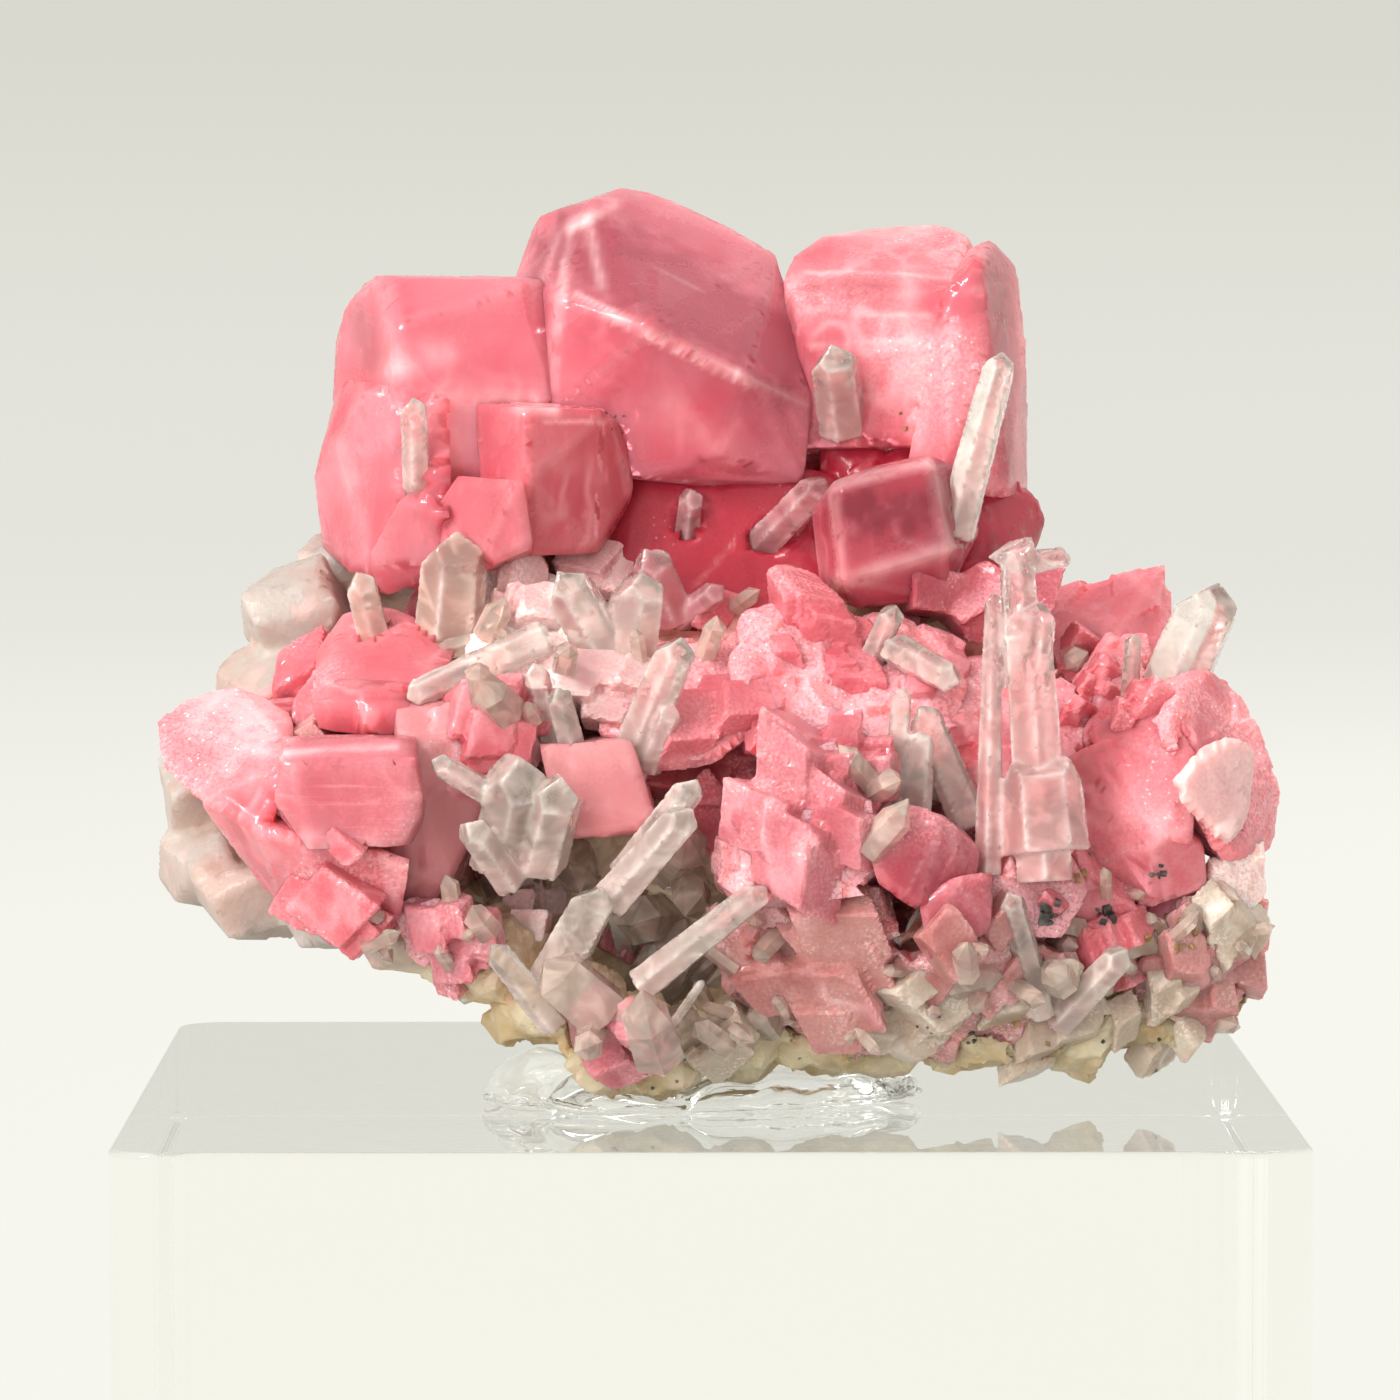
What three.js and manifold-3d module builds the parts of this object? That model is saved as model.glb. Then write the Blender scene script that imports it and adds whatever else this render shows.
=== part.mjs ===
// A rhodochrosite and quartz specimen, held by clear mounting gel on a clear acrylic block.
// Millimetres, +Z up, +X right, the specimen's show side faces -Y.
// The origin is the middle of the block's underside.
import * as THREE from 'three';
import { ConvexGeometry } from 'three/addons/geometries/ConvexGeometry.js';
import { mergeVertices } from 'three/addons/utils/BufferGeometryUtils.js';
import Module from 'manifold-3d';

const wasm = await Module();
wasm.setup();

// Driving dimensions
const blockSide = 40;
const blockHeight = 33.5;
const blockCornerRadius = 1.8;
const blockEdgeBevel = 0.2;
const seatGap = 0.12; // clearance between pieces that grew or rest against each other
const gelTop = 2.1; // how high the mounting gel climbs around the rock
const rhombFaceSlope = 51.8; // degrees between a quartz crystal's long axis and a tip face's normal
const prismTaper = 1.2; // degrees that a quartz prism's sides lean in
const pointTolerance = 1e-4;

const finishes = {
  acrylic: { color: 0xf2f4f1, roughness: 0.03, metalness: 0 },
  gel: { color: 0xf4f5f2, roughness: 0.08, metalness: 0 },
  matrix: { color: 0xcfb497, roughness: 0.75, metalness: 0 },
  rhodochrosite: { color: 0xe8717c, roughness: 0.25, metalness: 0 },
  paleRhodochrosite: { color: 0xd99a93, roughness: 0.4, metalness: 0 },
  deepRhodochrosite: { color: 0xb5404e, roughness: 0.25, metalness: 0 },
  quartz: { color: 0xe6dfd6, roughness: 0.1, metalness: 0 },
  smokyQuartz: { color: 0xcbb5a4, roughness: 0.12, metalness: 0 },
};

// ---------------------------------------------------------------- solids

// A closed mesh as a solid that can be joined and cut.
function solidOf(geometry) {
  const bare = geometry.clone();
  bare.deleteAttribute('normal');
  bare.deleteAttribute('uv');
  const merged = mergeVertices(bare, pointTolerance);
  return new wasm.Manifold(new wasm.Mesh({
    numProp: 3,
    vertProperties: new Float32Array(merged.attributes.position.array),
    triVerts: new Uint32Array(merged.index.array),
  }));
}

// A solid as a mesh geometry.
function geometryOf(solid) {
  const mesh = solid.getMesh();
  const geometry = new THREE.BufferGeometry();
  geometry.setAttribute('position', new THREE.BufferAttribute(new Float32Array(mesh.vertProperties), 3));
  geometry.setIndex(new THREE.BufferAttribute(new Uint32Array(mesh.triVerts), 1));
  geometry.computeVertexNormals();
  return geometry;
}

// The biggest connected part: small crumbs that a cut leaves are dropped.
function largestPart(solid) {
  const parts = solid.decompose();
  return parts.reduce((best, part) => (part.volume() > best.volume() ? part : best));
}

// The flat faces of a convex geometry, one plane for each.
function facePlanes(geometry) {
  const corners = geometry.attributes.position;
  const planes = [];
  for (let i = 0; i < corners.count; i += 3) {
    const [a, b, c] = [0, 1, 2].map((k) => new THREE.Vector3().fromBufferAttribute(corners, i + k));
    const plane = new THREE.Plane().setFromCoplanarPoints(a, b, c);
    if (!(plane.normal.lengthSq() > 0.5)) continue;
    if (!planes.some((other) => other.normal.dot(plane.normal) > 0.99999)) planes.push(plane);
  }
  return planes;
}

// The convex body that a set of outward planes encloses.
function enclosed(planes) {
  const corners = [];
  const toMatrix = new THREE.Matrix3();
  for (let i = 0; i < planes.length; i += 1) {
    for (let j = i + 1; j < planes.length; j += 1) {
      for (let k = j + 1; k < planes.length; k += 1) {
        const [a, b, c] = [planes[i], planes[j], planes[k]];
        toMatrix.set(...a.normal.toArray(), ...b.normal.toArray(), ...c.normal.toArray());
        if (Math.abs(toMatrix.determinant()) < 1e-3) continue;
        const corner = new THREE.Vector3(-a.constant, -b.constant, -c.constant);
        corner.applyMatrix3(toMatrix.invert());
        const inside = planes.every((plane) => plane.distanceToPoint(corner) < pointTolerance);
        const known = corners.some((other) => other.distanceTo(corner) < 10 * pointTolerance);
        if (inside && !known) corners.push(corner);
      }
    }
  }
  return new ConvexGeometry(corners);
}

// The same convex body with every face moved out, to cut a neighbour clear of it.
function grown(geometry, by) {
  const planes = facePlanes(geometry);
  for (const plane of planes) plane.constant -= by;
  return enclosed(planes);
}

// ---------------------------------------------------------------- crystal shapes

// A crystal with flat faces, given by its corners.
function faceted(...corners) {
  return new ConvexGeometry(corners.map((corner) => new THREE.Vector3(...corner)));
}

// A six-sided quartz prism from its foot to the point of its tip. width is across the flats,
// depth the same at right angles to it, turn the roll about the axis, and tipShift moves the
// point off the axis, so that some tip faces grow larger than others.
function prism({ foot, tip, width, depth = width, turn = 0, tipShift = 0.15 }) {
  const start = new THREE.Vector3(...foot);
  const end = new THREE.Vector3(...tip);
  const axis = end.clone().sub(start).normalize();
  const side = new THREE.Vector3(0, -1, 0);
  side.addScaledVector(axis, -side.dot(axis)).normalize();
  const across = new THREE.Vector3().crossVectors(axis, side);
  const slope = THREE.MathUtils.degToRad(rhombFaceSlope);
  const lean = THREE.MathUtils.degToRad(prismTaper);
  const planes = [new THREE.Plane().setFromNormalAndCoplanarPoint(axis.clone().negate(), start)];
  for (let face = 0; face < 6; face += 1) {
    const angle = THREE.MathUtils.degToRad(turn + 60 * face);
    const out = side.clone().multiplyScalar(Math.cos(angle) * width / depth);
    out.addScaledVector(across, Math.sin(angle)).normalize();
    const reach = 0.5 * Math.hypot(width * Math.sin(angle), depth * Math.cos(angle));
    const wall = out.clone().multiplyScalar(Math.cos(lean)).addScaledVector(axis, Math.sin(lean));
    const footPoint = start.clone().addScaledVector(out, reach);
    planes.push(new THREE.Plane().setFromNormalAndCoplanarPoint(wall, footPoint));
    const roof = out.clone().multiplyScalar(Math.sin(slope)).addScaledVector(axis, Math.cos(slope));
    const roofPoint = end.clone().addScaledVector(roof, face % 2 ? tipShift * width : 0);
    planes.push(new THREE.Plane().setFromNormalAndCoplanarPoint(roof, roofPoint));
  }
  return enclosed(planes);
}

// A short run of numbers between -1 and 1 that is the same every time for one seed.
function irregular(seed) {
  let state = seed * 7919 + 17;
  return () => {
    state = (state * 16807) % 2147483647;
    return (2 * state) / 2147483647 - 1;
  };
}

// An uneven many-sided lump: corners spread over an ellipsoid, each moved in or out a little.
function lump([x, y, z], [rx, ry, rz], seed, corners = 14, unevenness = 0.12) {
  const next = irregular(seed);
  const points = [];
  for (let i = 0; i < corners; i += 1) {
    const height = 1 - (2 * i + 1) / corners;
    const ring = Math.sqrt(1 - height * height);
    const angle = i * 2.39996 + 0.5 * next();
    const size = 1 + unevenness * next();
    points.push(new THREE.Vector3(
      x + rx * size * ring * Math.cos(angle),
      y + ry * size * ring * Math.sin(angle),
      z + rz * size * height,
    ));
  }
  return new ConvexGeometry(points);
}

// ---------------------------------------------------------------- quartz crystals

// Each quartz piece is one crystal, or a few that grew into each other.
const quartzPieces = {
  quartz_pillar_twin: [
    prism({ foot: [9.5, -11.4, 8.4], tip: [9.7, -10.4, 18], width: 0.95, turn: 20 }),
    prism({ foot: [11.4, -11.6, 8.2], tip: [10.8, -10.6, 17.9], width: 1.9, depth: 1.5, turn: 30 }),
    prism({ foot: [11.5, -11.7, 9.2], tip: [11.2, -11.1, 12.9], width: 2.5, depth: 2, turn: 0, tipShift: 0.4 }),
    prism({ foot: [11.2, -11.2, 14.6], tip: [11.5, -11, 17.4], width: 0.7, turn: 10 }),
    prism({ foot: [10.6, -10.7, 16.4], tip: [10.5, -10, 19.6], width: 1.2, turn: 40 }),
    lump([10.5, -10, 19.2], [1.15, 0.9, 0.85], 5, 9, 0.16),
    lump([11.6, -10, 19.1], [1.1, 0.7, 0.6], 6, 8, 0.2),
  ],
  quartz_smoky_stub: [
    prism({ foot: [-9.2, -3.8, 14.6], tip: [-8.7, -4.9, 19.9], width: 2.2, depth: 1.8, turn: 12, tipShift: 0.3 }),
  ],
  quartz_left_finger: [
    prism({ foot: [-11.4, -4.2, 15.3], tip: [-12.2, -5.2, 18.5], width: 1.15, turn: 25 }),
  ],
  quartz_upper_left: [
    prism({ foot: [-10.1, -1.2, 19.6], tip: [-10.3, -3.4, 24.5], width: 1.05, depth: 0.9, turn: 18 }),
  ],
  quartz_slanted_bridge: [
    prism({ foot: [-5.6, -7, 16.3], tip: [-10.4, -9.2, 14.3], width: 1.1, depth: 0.9, turn: 5 }),
  ],
  quartz_clear_pair: [
    prism({ foot: [-3.1, -6.2, 15], tip: [-5.2, -7.6, 18.6], width: 1.7, depth: 1.3, turn: 15, tipShift: 0.35 }),
    prism({ foot: [-2.9, -6.4, 15], tip: [-2.3, -7, 18.6], width: 1.8, depth: 1.3, turn: 40, tipShift: 0.3 }),
  ],
  quartz_small_pair: [
    prism({ foot: [-5.4, -9, 12.3], tip: [-6, -10.2, 15.6], width: 0.95, turn: 8 }),
    prism({ foot: [-4.5, -9.4, 12], tip: [-5.2, -10.8, 14.8], width: 0.95, turn: 30 }),
  ],
  quartz_centre_left: [
    prism({ foot: [-2.8, -8.8, 11.8], tip: [-0.9, -10.4, 16.5], width: 1.5, depth: 1.3, turn: 22, tipShift: 0.3 }),
    prism({ foot: [-2.1, -9.2, 11.9], tip: [-1.2, -10.2, 14.2], width: 0.9, turn: 0 }),
  ],
  quartz_recess_small: [
    prism({ foot: [-0.8, 0.8, 18.6], tip: [-0.5, -1.2, 21.2], width: 0.95, turn: 30 }),
  ],
  quartz_recess_slanted: [
    prism({ foot: [0.8, 1.2, 17.8], tip: [4.2, -2.6, 21.6], width: 1.35, depth: 1.1, turn: 14 }),
  ],
  quartz_recess_pebbles: [
    prism({ foot: [-1.2, -2.4, 16.6], tip: [-2.2, -3.6, 19.2], width: 1.6, depth: 1.2, turn: 30 }),
    prism({ foot: [-1, -2.2, 16.6], tip: [0.6, -3.6, 17.9], width: 0.9, turn: 0 }),
  ],
  quartz_saddle: [
    prism({ foot: [4.9, 0.8, 23.2], tip: [4.4, -1.4, 26.3], width: 1.6, depth: 1.3, turn: 12, tipShift: 0.4 }),
    prism({ foot: [6.6, 0.4, 22], tip: [4.3, -2, 24.4], width: 1.1, turn: 26 }),
  ],
  quartz_upper_right: [
    prism({ foot: [8.6, -4.4, 19.6], tip: [10.3, -4.4, 26.1], width: 1.3, depth: 1.1, turn: 16, tipShift: 0.3 }),
  ],
  quartz_right_spire: [
    prism({ foot: [15.6, -4.4, 12.9], tip: [17.8, -5.2, 18.1], width: 2.2, depth: 1.8, turn: 20, tipShift: 0.2 }),
  ],
  quartz_right_needle: [
    prism({ foot: [14.6, -6, 13.2], tip: [14.7, -7.2, 16.4], width: 0.7, turn: 30 }),
  ],
  quartz_ridge_blade: [
    prism({ foot: [6.2, -10.4, 9.9], tip: [6.6, -10.8, 14.8], width: 0.75, depth: 0.5, turn: 0, tipShift: 0.5 }),
    prism({ foot: [7, -10.4, 9.9], tip: [7.2, -10.7, 13.3], width: 0.9, depth: 0.5, turn: 0, tipShift: 0.6 }),
  ],
  quartz_leaning_blade: [
    prism({ foot: [9, -9.3, 9.9], tip: [7.2, -9.9, 14.1], width: 1.1, depth: 0.6, turn: 8 }),
  ],
  quartz_front_diagonals: [
    prism({ foot: [-3.4, -12.2, 7.6], tip: [-0.6, -13.6, 10.9], width: 1.35, turn: 24, tipShift: 0.25 }),
    prism({ foot: [-2.9, -11.4, 8.4], tip: [-0.4, -12.8, 11.8], width: 1.1, turn: 10, tipShift: 0.3 }),
  ],
  quartz_white_rod: [
    prism({ foot: [-2.3, -12.6, 4.8], tip: [1.9, -14.2, 8.3], width: 1.15, turn: 20, tipShift: 0.35 }),
  ],
  quartz_lower_finger: [
    prism({ foot: [-5.3, -12, 3.4], tip: [-7.4, -13.8, 6.3], width: 0.95, turn: 12 }),
  ],
  quartz_green_stub: [
    prism({ foot: [-5.4, -11.6, 4.8], tip: [-3.6, -13.4, 8.2], width: 1.5, depth: 1.2, turn: 18, tipShift: 0.35 }),
  ],
  quartz_left_spray: [
    prism({ foot: [-7.1, -10.4, 8.8], tip: [-6.4, -13, 12.6], width: 2.1, turn: 30, tipShift: 0.2 }),
    prism({ foot: [-5.8, -10.8, 8.8], tip: [-5, -13.2, 11.9], width: 1.7, turn: 10, tipShift: 0.3 }),
    prism({ foot: [-6.1, -11.2, 10.4], tip: [-9.4, -13.2, 12.5], width: 0.9, turn: 20 }),
    prism({ foot: [-6.8, -11.2, 8.2], tip: [-8.2, -13.6, 10.4], width: 1.15, turn: 34 }),
  ],
  quartz_fine_needle: [
    prism({ foot: [-2.1, -12.2, 2.2], tip: [-0.2, -13.8, 5.1], width: 0.42, turn: 15 }),
  ],
  quartz_ridge_stub: [
    prism({ foot: [5.4, -5.8, 14.8], tip: [6.5, -7.2, 17.4], width: 0.95, turn: 28 }),
  ],
  quartz_ridge_knob: [
    prism({ foot: [6.4, -6.8, 15.9], tip: [8.6, -9.2, 14.8], width: 1.1, turn: 14, tipShift: 0.3 }),
  ],
  quartz_lower_right: [
    prism({ foot: [12, -9.6, 3.2], tip: [14.2, -11.8, 5.9], width: 1.15, turn: 22, tipShift: 0.3 }),
    prism({ foot: [11.4, -10.2, 3.6], tip: [10.1, -13, 8], width: 1, turn: 8 }),
  ],
};

// ---------------------------------------------------------------- rhodochrosite crystals

// From the front of the specimen to its back: a piece is cut clear of the ones listed before it.
const rhodochrositePieces = {
  right_tablet: [
    faceted([15.9, -11.4, 11.6], [16.8, -11.2, 12.6], [17.8, -10.8, 13], [18.4, -10.4, 12.6],
      [18.3, -10.4, 10.5], [17.6, -10.6, 9.5], [16.3, -11.2, 10.8], [16.9, -8, 11.8],
      [18.4, -8, 12.1], [18.3, -8, 9.7]),
  ],
  small_rhomb: [
    faceted([7.2, -13.6, 7.6], [8.3, -13.6, 8.4], [9.4, -13, 8.5], [9.3, -13.2, 6.8],
      [7.5, -13.8, 5.9], [7.6, -9, 7.4], [9.4, -9, 7.7], [9.3, -9, 6.4], [7.6, -9, 6]),
  ],
  striated_rhomb: [
    faceted([5.3, -13.4, 10.1], [6.5, -13, 10.9], [7.8, -13.2, 10.4], [9, -12.4, 9.3],
      [8.9, -12.6, 8.3], [7, -13.8, 7.6], [5.8, -13.8, 8.4], [5.9, -8, 10], [8.6, -8, 9.7],
      [8.6, -8, 8], [6.6, -8, 7.6]),
  ],
  frosted_cluster: [
    faceted([0.9, -12.4, 10.6], [2.6, -12.6, 12.2], [4.1, -12, 12.7], [5.1, -13, 11.1],
      [5.6, -13, 9.4], [4.7, -13.4, 8.1], [3, -14, 7.9], [1.1, -13.2, 8], [0.3, -11.5, 8.7],
      [1.1, -7, 10.7], [4.9, -7, 12], [5.6, -7, 7.9], [0.7, -7, 7.5]),
    faceted([3, -10, 13.8], [4.1, -10, 14], [4.9, -10.4, 13.2], [5.5, -11, 12.3],
      [6, -12, 10.5], [4.7, -12.4, 10.1], [3, -12, 11.7], [3.2, -6, 13], [5.9, -6, 12],
      [5.9, -7, 10], [3.2, -7, 10.7]),
  ],
  pillar_foot: [
    faceted([9.4, -11.6, 8.6], [10.2, -11.4, 9.2], [12, -11, 9.3], [12.8, -11, 7.9],
      [11.9, -11.6, 6.4], [9.8, -12, 6.7], [9.3, -11.6, 7.6], [10.1, -6, 8.8],
      [12.5, -6, 8.8], [12.5, -6, 6.4], [10.1, -6, 6.4]),
  ],
  lower_pale_mass: [
    faceted([0.3, -11.5, 6.8], [2.4, -12.4, 8], [5.7, -12.6, 8], [6.3, -12, 5.6],
      [5.6, -9.5, 2.3], [3.1, -9.6, 2.7], [0.6, -11, 4.7], [0.8, -5, 7], [6, -5, 7],
      [5.7, -4, 2.4], [1.5, -4, 3.8]),
  ],
  lower_right_mass: [
    faceted([6.4, -12, 5.6], [8, -12.6, 6.1], [9.8, -12, 6.3], [12, -11, 5.6],
      [12.8, -10, 4.1], [11.7, -8.5, 2.2], [7.9, -8.5, 2.1], [6.5, -10, 3], [7, -5, 5.3],
      [12.2, -5, 5.3], [12.3, -4, 2.4], [7.1, -4, 2.4]),
  ],
  dark_rhomb: [
    faceted([-14.2, -12.6, 12.9], [-10.3, -12.4, 12.9], [-10, -13.4, 11.2], [-10.5, -13.4, 9.9],
      [-13.4, -13.6, 9.8], [-14.4, -13.2, 11.2], [-14.1, -13.6, 12.2], [-10.2, -13.4, 12.2],
      [-14.1, -7, 12.6], [-10.3, -7, 12.6], [-10, -7, 9.6], [-14.1, -7, 9.4]),
  ],
  salmon_rhomb: [
    faceted([-5.6, -10.6, 12.7], [-2.8, -10.4, 12.8], [-1.9, -11.4, 10.2], [-2.4, -11, 9.9],
      [-4.6, -11.4, 9.8], [-5.2, -11.2, 11], [-5.7, -5, 12.6], [-2.7, -5, 12.7],
      [-2, -6, 9.9], [-4.8, -6, 9.5]),
  ],
  left_flank: [
    faceted([-18.9, -7, 13.3], [-17.6, -6, 14.1], [-16.4, -6, 14.4], [-14.6, -7, 13.6],
      [-14.2, -10.5, 12.1], [-15.2, -12, 9.9], [-17.1, -10.5, 10.9], [-18.6, -8.5, 12],
      [-18.6, -1, 12.7], [-15.1, -1, 13.2], [-15, -3, 9.6], [-17.8, -2, 11]),
    faceted([-17.2, -10, 10.9], [-15.2, -12, 10], [-13.8, -12.5, 9.7], [-10.3, -12.8, 9],
      [-10.7, -11.5, 6.8], [-12.8, -10.5, 6], [-14.6, -10, 7.4], [-16.1, -9, 9.1],
      [-16.7, -4, 9.7], [-11.1, -4, 8.3], [-11.4, -4, 6.2], [-14.2, -4, 6.9]),
  ],
  left_inner: [
    faceted([-9.5, -10, 13.8], [-8.2, -9.5, 14.3], [-6.7, -9, 14.3], [-5.5, -9.8, 12.9],
      [-6.5, -10, 11.2], [-8.8, -10.6, 11.2], [-9.3, -4, 13.6], [-5.9, -4, 12.5],
      [-6.6, -4, 10.9], [-9, -4, 10.8]),
    faceted([-10.6, -9, 14.1], [-7, -9, 14], [-7.7, -10, 10.9], [-9, -11, 8.3],
      [-10.1, -10.5, 6.7], [-10.8, -11, 8.9], [-10.4, -11.2, 12.3], [-10.8, -2, 13.4],
      [-7.6, -2, 13.4], [-8.3, -4, 7.6], [-10.7, -4, 6.6]),
  ],
  right_bright: [
    faceted([12.4, -8.6, 12.1], [13.7, -9, 12.8], [15.5, -10.4, 9.7], [16.8, -9.6, 9.2],
      [17, -9, 7.9], [15.1, -9, 7.2], [13.2, -9, 8.5], [12.5, -8.8, 10.5], [13.4, -3, 12.1],
      [16.9, -3, 10.3], [17.2, -4, 7.6], [13.3, -4, 8.3]),
    faceted([13.2, -8.6, 13], [15.2, -7.6, 14.6], [16.6, -9.6, 12.2], [16.4, -10.2, 9.5],
      [15.5, -10.4, 9.7], [15.2, -2, 13.8], [16.9, -3, 11.7], [16.5, -4, 9.4],
      [13.8, -3, 12.1]),
  ],
  right_crown: [
    faceted([15.3, -7.2, 14.5], [16.2, -8.2, 14.6], [17.3, -6.6, 15], [18.4, -6, 13.9],
      [19.1, -6.4, 12.5], [19.6, -6.4, 11], [19.4, -7, 9.2], [17.8, -9.4, 8.9],
      [16.4, -10, 10.9], [15.7, -9.6, 12.9], [16, -1, 13.7], [18.8, -1, 13],
      [19.6, -2, 11], [19.4, -3, 8.6], [16.6, -3, 8.9]),
  ],
  cavity_rhomb: [
    faceted([14.6, -8, 7], [16.7, -8, 7.7], [17.1, -8.4, 5.5], [14.8, -8.6, 5.2],
      [15.2, -3, 6.8], [17.3, -3, 7.2], [17.3, -3, 5.1], [15.2, -3, 4.9]),
  ],
  right_corner_low: [
    faceted([14.4, -9, 5.1], [16.8, -9.6, 5.4], [18.5, -8, 6.3], [19.4, -6.4, 7.1],
      [19.2, -6.4, 5], [18.1, -6.6, 3.3], [14.9, -7.4, 2.7], [15.6, -2, 5], [19.1, -2, 5.7],
      [18.7, -2, 3.2], [15.6, -2, 2.5]),
  ],
  right_corner_chip: [
    faceted([17.3, -9, 8.6], [18.9, -8, 9], [19.1, -7.4, 7.2], [18.1, -8.6, 6.5],
      [17.1, -9, 7.2], [18, -3, 8.2], [19.2, -3, 8.2], [19.2, -3, 6.5], [17.8, -3, 6.5]),
  ],
  bottom_pinks: [
    faceted([-4.8, -12.4, 3.9], [-3.5, -12.8, 4.2], [-2, -12.2, 3.6], [-1.9, -11.6, 2.9],
      [-2.4, -10.6, 1.8], [-3.7, -10.8, 2.1], [-4.5, -11, 2.5], [-4.4, -7, 3.4],
      [-2.4, -7, 3.2], [-2.7, -6, 1.9]),
    faceted([-3.2, -13.2, 4], [-2.6, -13.4, 4.4], [-2, -13, 4], [-2, -13, 3.3],
      [-2.7, -13.2, 2.9], [-3.2, -13.2, 3.3], [-3.1, -9, 3.6], [-2, -9, 3.5],
      [-2.4, -9, 2.6]),
  ],
  left_bottom_purple: [
    faceted([-10.6, -11.6, 7.1], [-9.1, -12, 7.5], [-7.7, -11.8, 6.5], [-8, -11, 5.3],
      [-9.8, -10.8, 5.4], [-10.7, -6, 6.8], [-8.3, -6, 6.1], [-9.3, -6, 5.2]),
  ],
  left_plates: [
    faceted([-13.2, -4, 15.5], [-12.5, -3.5, 16.5], [-11.3, -3.5, 16.7], [-9.3, -4.5, 16],
      [-9.5, -7, 14.7], [-10.9, -8, 14], [-13.1, -7, 14.2], [-13, 1, 15.7], [-9.8, 1, 15.7],
      [-9.8, 0, 13.6], [-13, 0, 13.6]),
    faceted([-13.2, -8, 14.4], [-13, -9, 13.7], [-8.1, -9.8, 13.3], [-7.2, -8.5, 14.1],
      [-8.2, -8, 14.3], [-13.3, -2, 14.1], [-8.3, -2, 14.1], [-8.3, -3, 13.1],
      [-13.3, -2, 13.2]),
  ],
  coated_cluster: [
    faceted([-8.3, -6, 15.9], [-6.5, -5, 16.8], [-4.6, -4.5, 17.5], [-3.7, -6, 16.1],
      [-3.6, -8, 14.4], [-5.6, -8.5, 14], [-7.9, -7.5, 14.4], [-8, 0, 15.8], [-4.1, 0, 16.8],
      [-4.1, -1, 14.1], [-8, -1, 14.1]),
    faceted([-7.9, -2.5, 18.3], [-6.8, -2.5, 18.4], [-5.5, -2.5, 17.9], [-5.1, -3.5, 16.5],
      [-5.9, -4, 15.7], [-8.2, -4, 15.8], [-7.7, 3, 17.8], [-5.6, 3, 17.4], [-5.6, 3, 15.6],
      [-8.1, 3, 15.6]),
  ],
  ridge_left: [
    faceted([-3.7, -6.5, 15.3], [-2.4, -6, 15.9], [-0.3, -6.5, 15.8], [1.2, -5.5, 16.1],
      [1.3, -9, 13], [-0.3, -9.5, 12.2], [-3.4, -9, 12.5], [-3.7, -8, 14.2], [-3.1, -2, 15.2],
      [1.2, -2, 15.5], [1.1, -3, 12.4], [-3.4, -3, 12.4]),
  ],
  ridge_centre: [
    faceted([1.3, -5.5, 16.9], [2.1, -6, 16.7], [3, -5.5, 17.6], [4, -5, 17], [5.3, -6, 16.1],
      [4.9, -9, 12.7], [3.1, -9.6, 12.1], [1.2, -9, 12.8], [1, -8, 15.7], [1.9, -1.5, 16.2],
      [5, -1.5, 15.9], [5, -3, 12.4], [1.3, -3, 12.4]),
    faceted([4.9, -5.5, 16.5], [5.8, -5, 16.9], [7.7, -5, 16.3], [8.8, -5, 15.9],
      [8.7, -7.5, 14.5], [8.1, -9, 12], [5.6, -9.4, 11.7], [4.8, -9, 12.9], [5.4, -1.5, 15.9],
      [8.7, -1.5, 15.5], [8.2, -3, 11.7], [5.3, -3, 11.4]),
  ],
  ridge_right: [
    faceted([8.4, -6, 15.4], [11.5, -5, 15.1], [13.1, -5.5, 14], [12.8, -8, 11.9],
      [10.1, -9, 10.3], [8.3, -8, 9.5], [7.1, -8.5, 12.1], [7.1, -8, 14.2], [8.9, -1.5, 14.8],
      [12.8, -1.5, 14.1], [12.7, -3, 11], [8.5, -3, 9.6]),
  ],
  window_rhomb: [
    faceted([4.5, -5.6, 21.3], [7.6, -5.6, 22.1], [8.2, -6, 19.3], [4.8, -6, 18.3],
      [3.8, -3.6, 20.5], [4.5, -4.4, 21.5], [5.9, -4.6, 22], [7.7, -4.6, 22.4], [8.5, -4, 22],
      [9.4, -3.2, 19.8], [8.2, -4.6, 17.6], [5.2, -4.8, 17.3], [4.1, -3.8, 17.9],
      [5.1, 0, 21.1], [8.3, 0, 21.5], [9, 0, 18.6], [5.1, 0, 17.2]),
  ],
  back_right_blades: [
    faceted([12, 0, 17.3], [13.6, 0.5, 17.2], [15.1, 0.6, 17.9], [16.2, 0.4, 18.3],
      [16.4, 0, 15.8], [15.7, -2, 13.8], [13, -3.5, 14.2], [12.1, -2, 15.9], [12.9, 6, 16.9],
      [16.1, 5, 17.5], [16.1, 5, 13.7], [12.8, 4, 14.1]),
    faceted([12.9, -4.5, 14.3], [14.1, -3.6, 16], [15.3, -3.4, 16.1], [15.6, -5.2, 14.3],
      [13.8, -7.6, 12.6], [12.9, -7.6, 12], [14.1, 2, 14.9], [15.9, 2, 14.9],
      [14.7, 0, 12.2]),
  ],
  step_block: [
    faceted([-7.9, -1.5, 24], [-6.3, -3.8, 23.9], [-6.3, -4.3, 21.6], [-6.3, -3.8, 19.2],
      [-3.8, -2.2, 23.8], [-3, -0.8, 23.2], [-2.8, -0.6, 21.3], [-3.7, -1.8, 20],
      [-4.1, -2.2, 19.2], [-7.7, -2.5, 21.5], [-7.6, -2.5, 19.3], [-7.4, 2, 24.2],
      [-3.6, 3, 24.1], [-7.4, 3, 19.2], [-3.1, 3, 19.2]),
    faceted([-9.3, -3.5, 20.5], [-8.6, -3.5, 21.5], [-6.6, -4.8, 21.4], [-6.3, -5, 19.4],
      [-7.9, -5, 18.7], [-9.1, -4, 18.8], [-8.7, 0, 21.1], [-6.4, 0, 20.7], [-6.6, 0, 18.6],
      [-9.1, 0, 18.6]),
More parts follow.
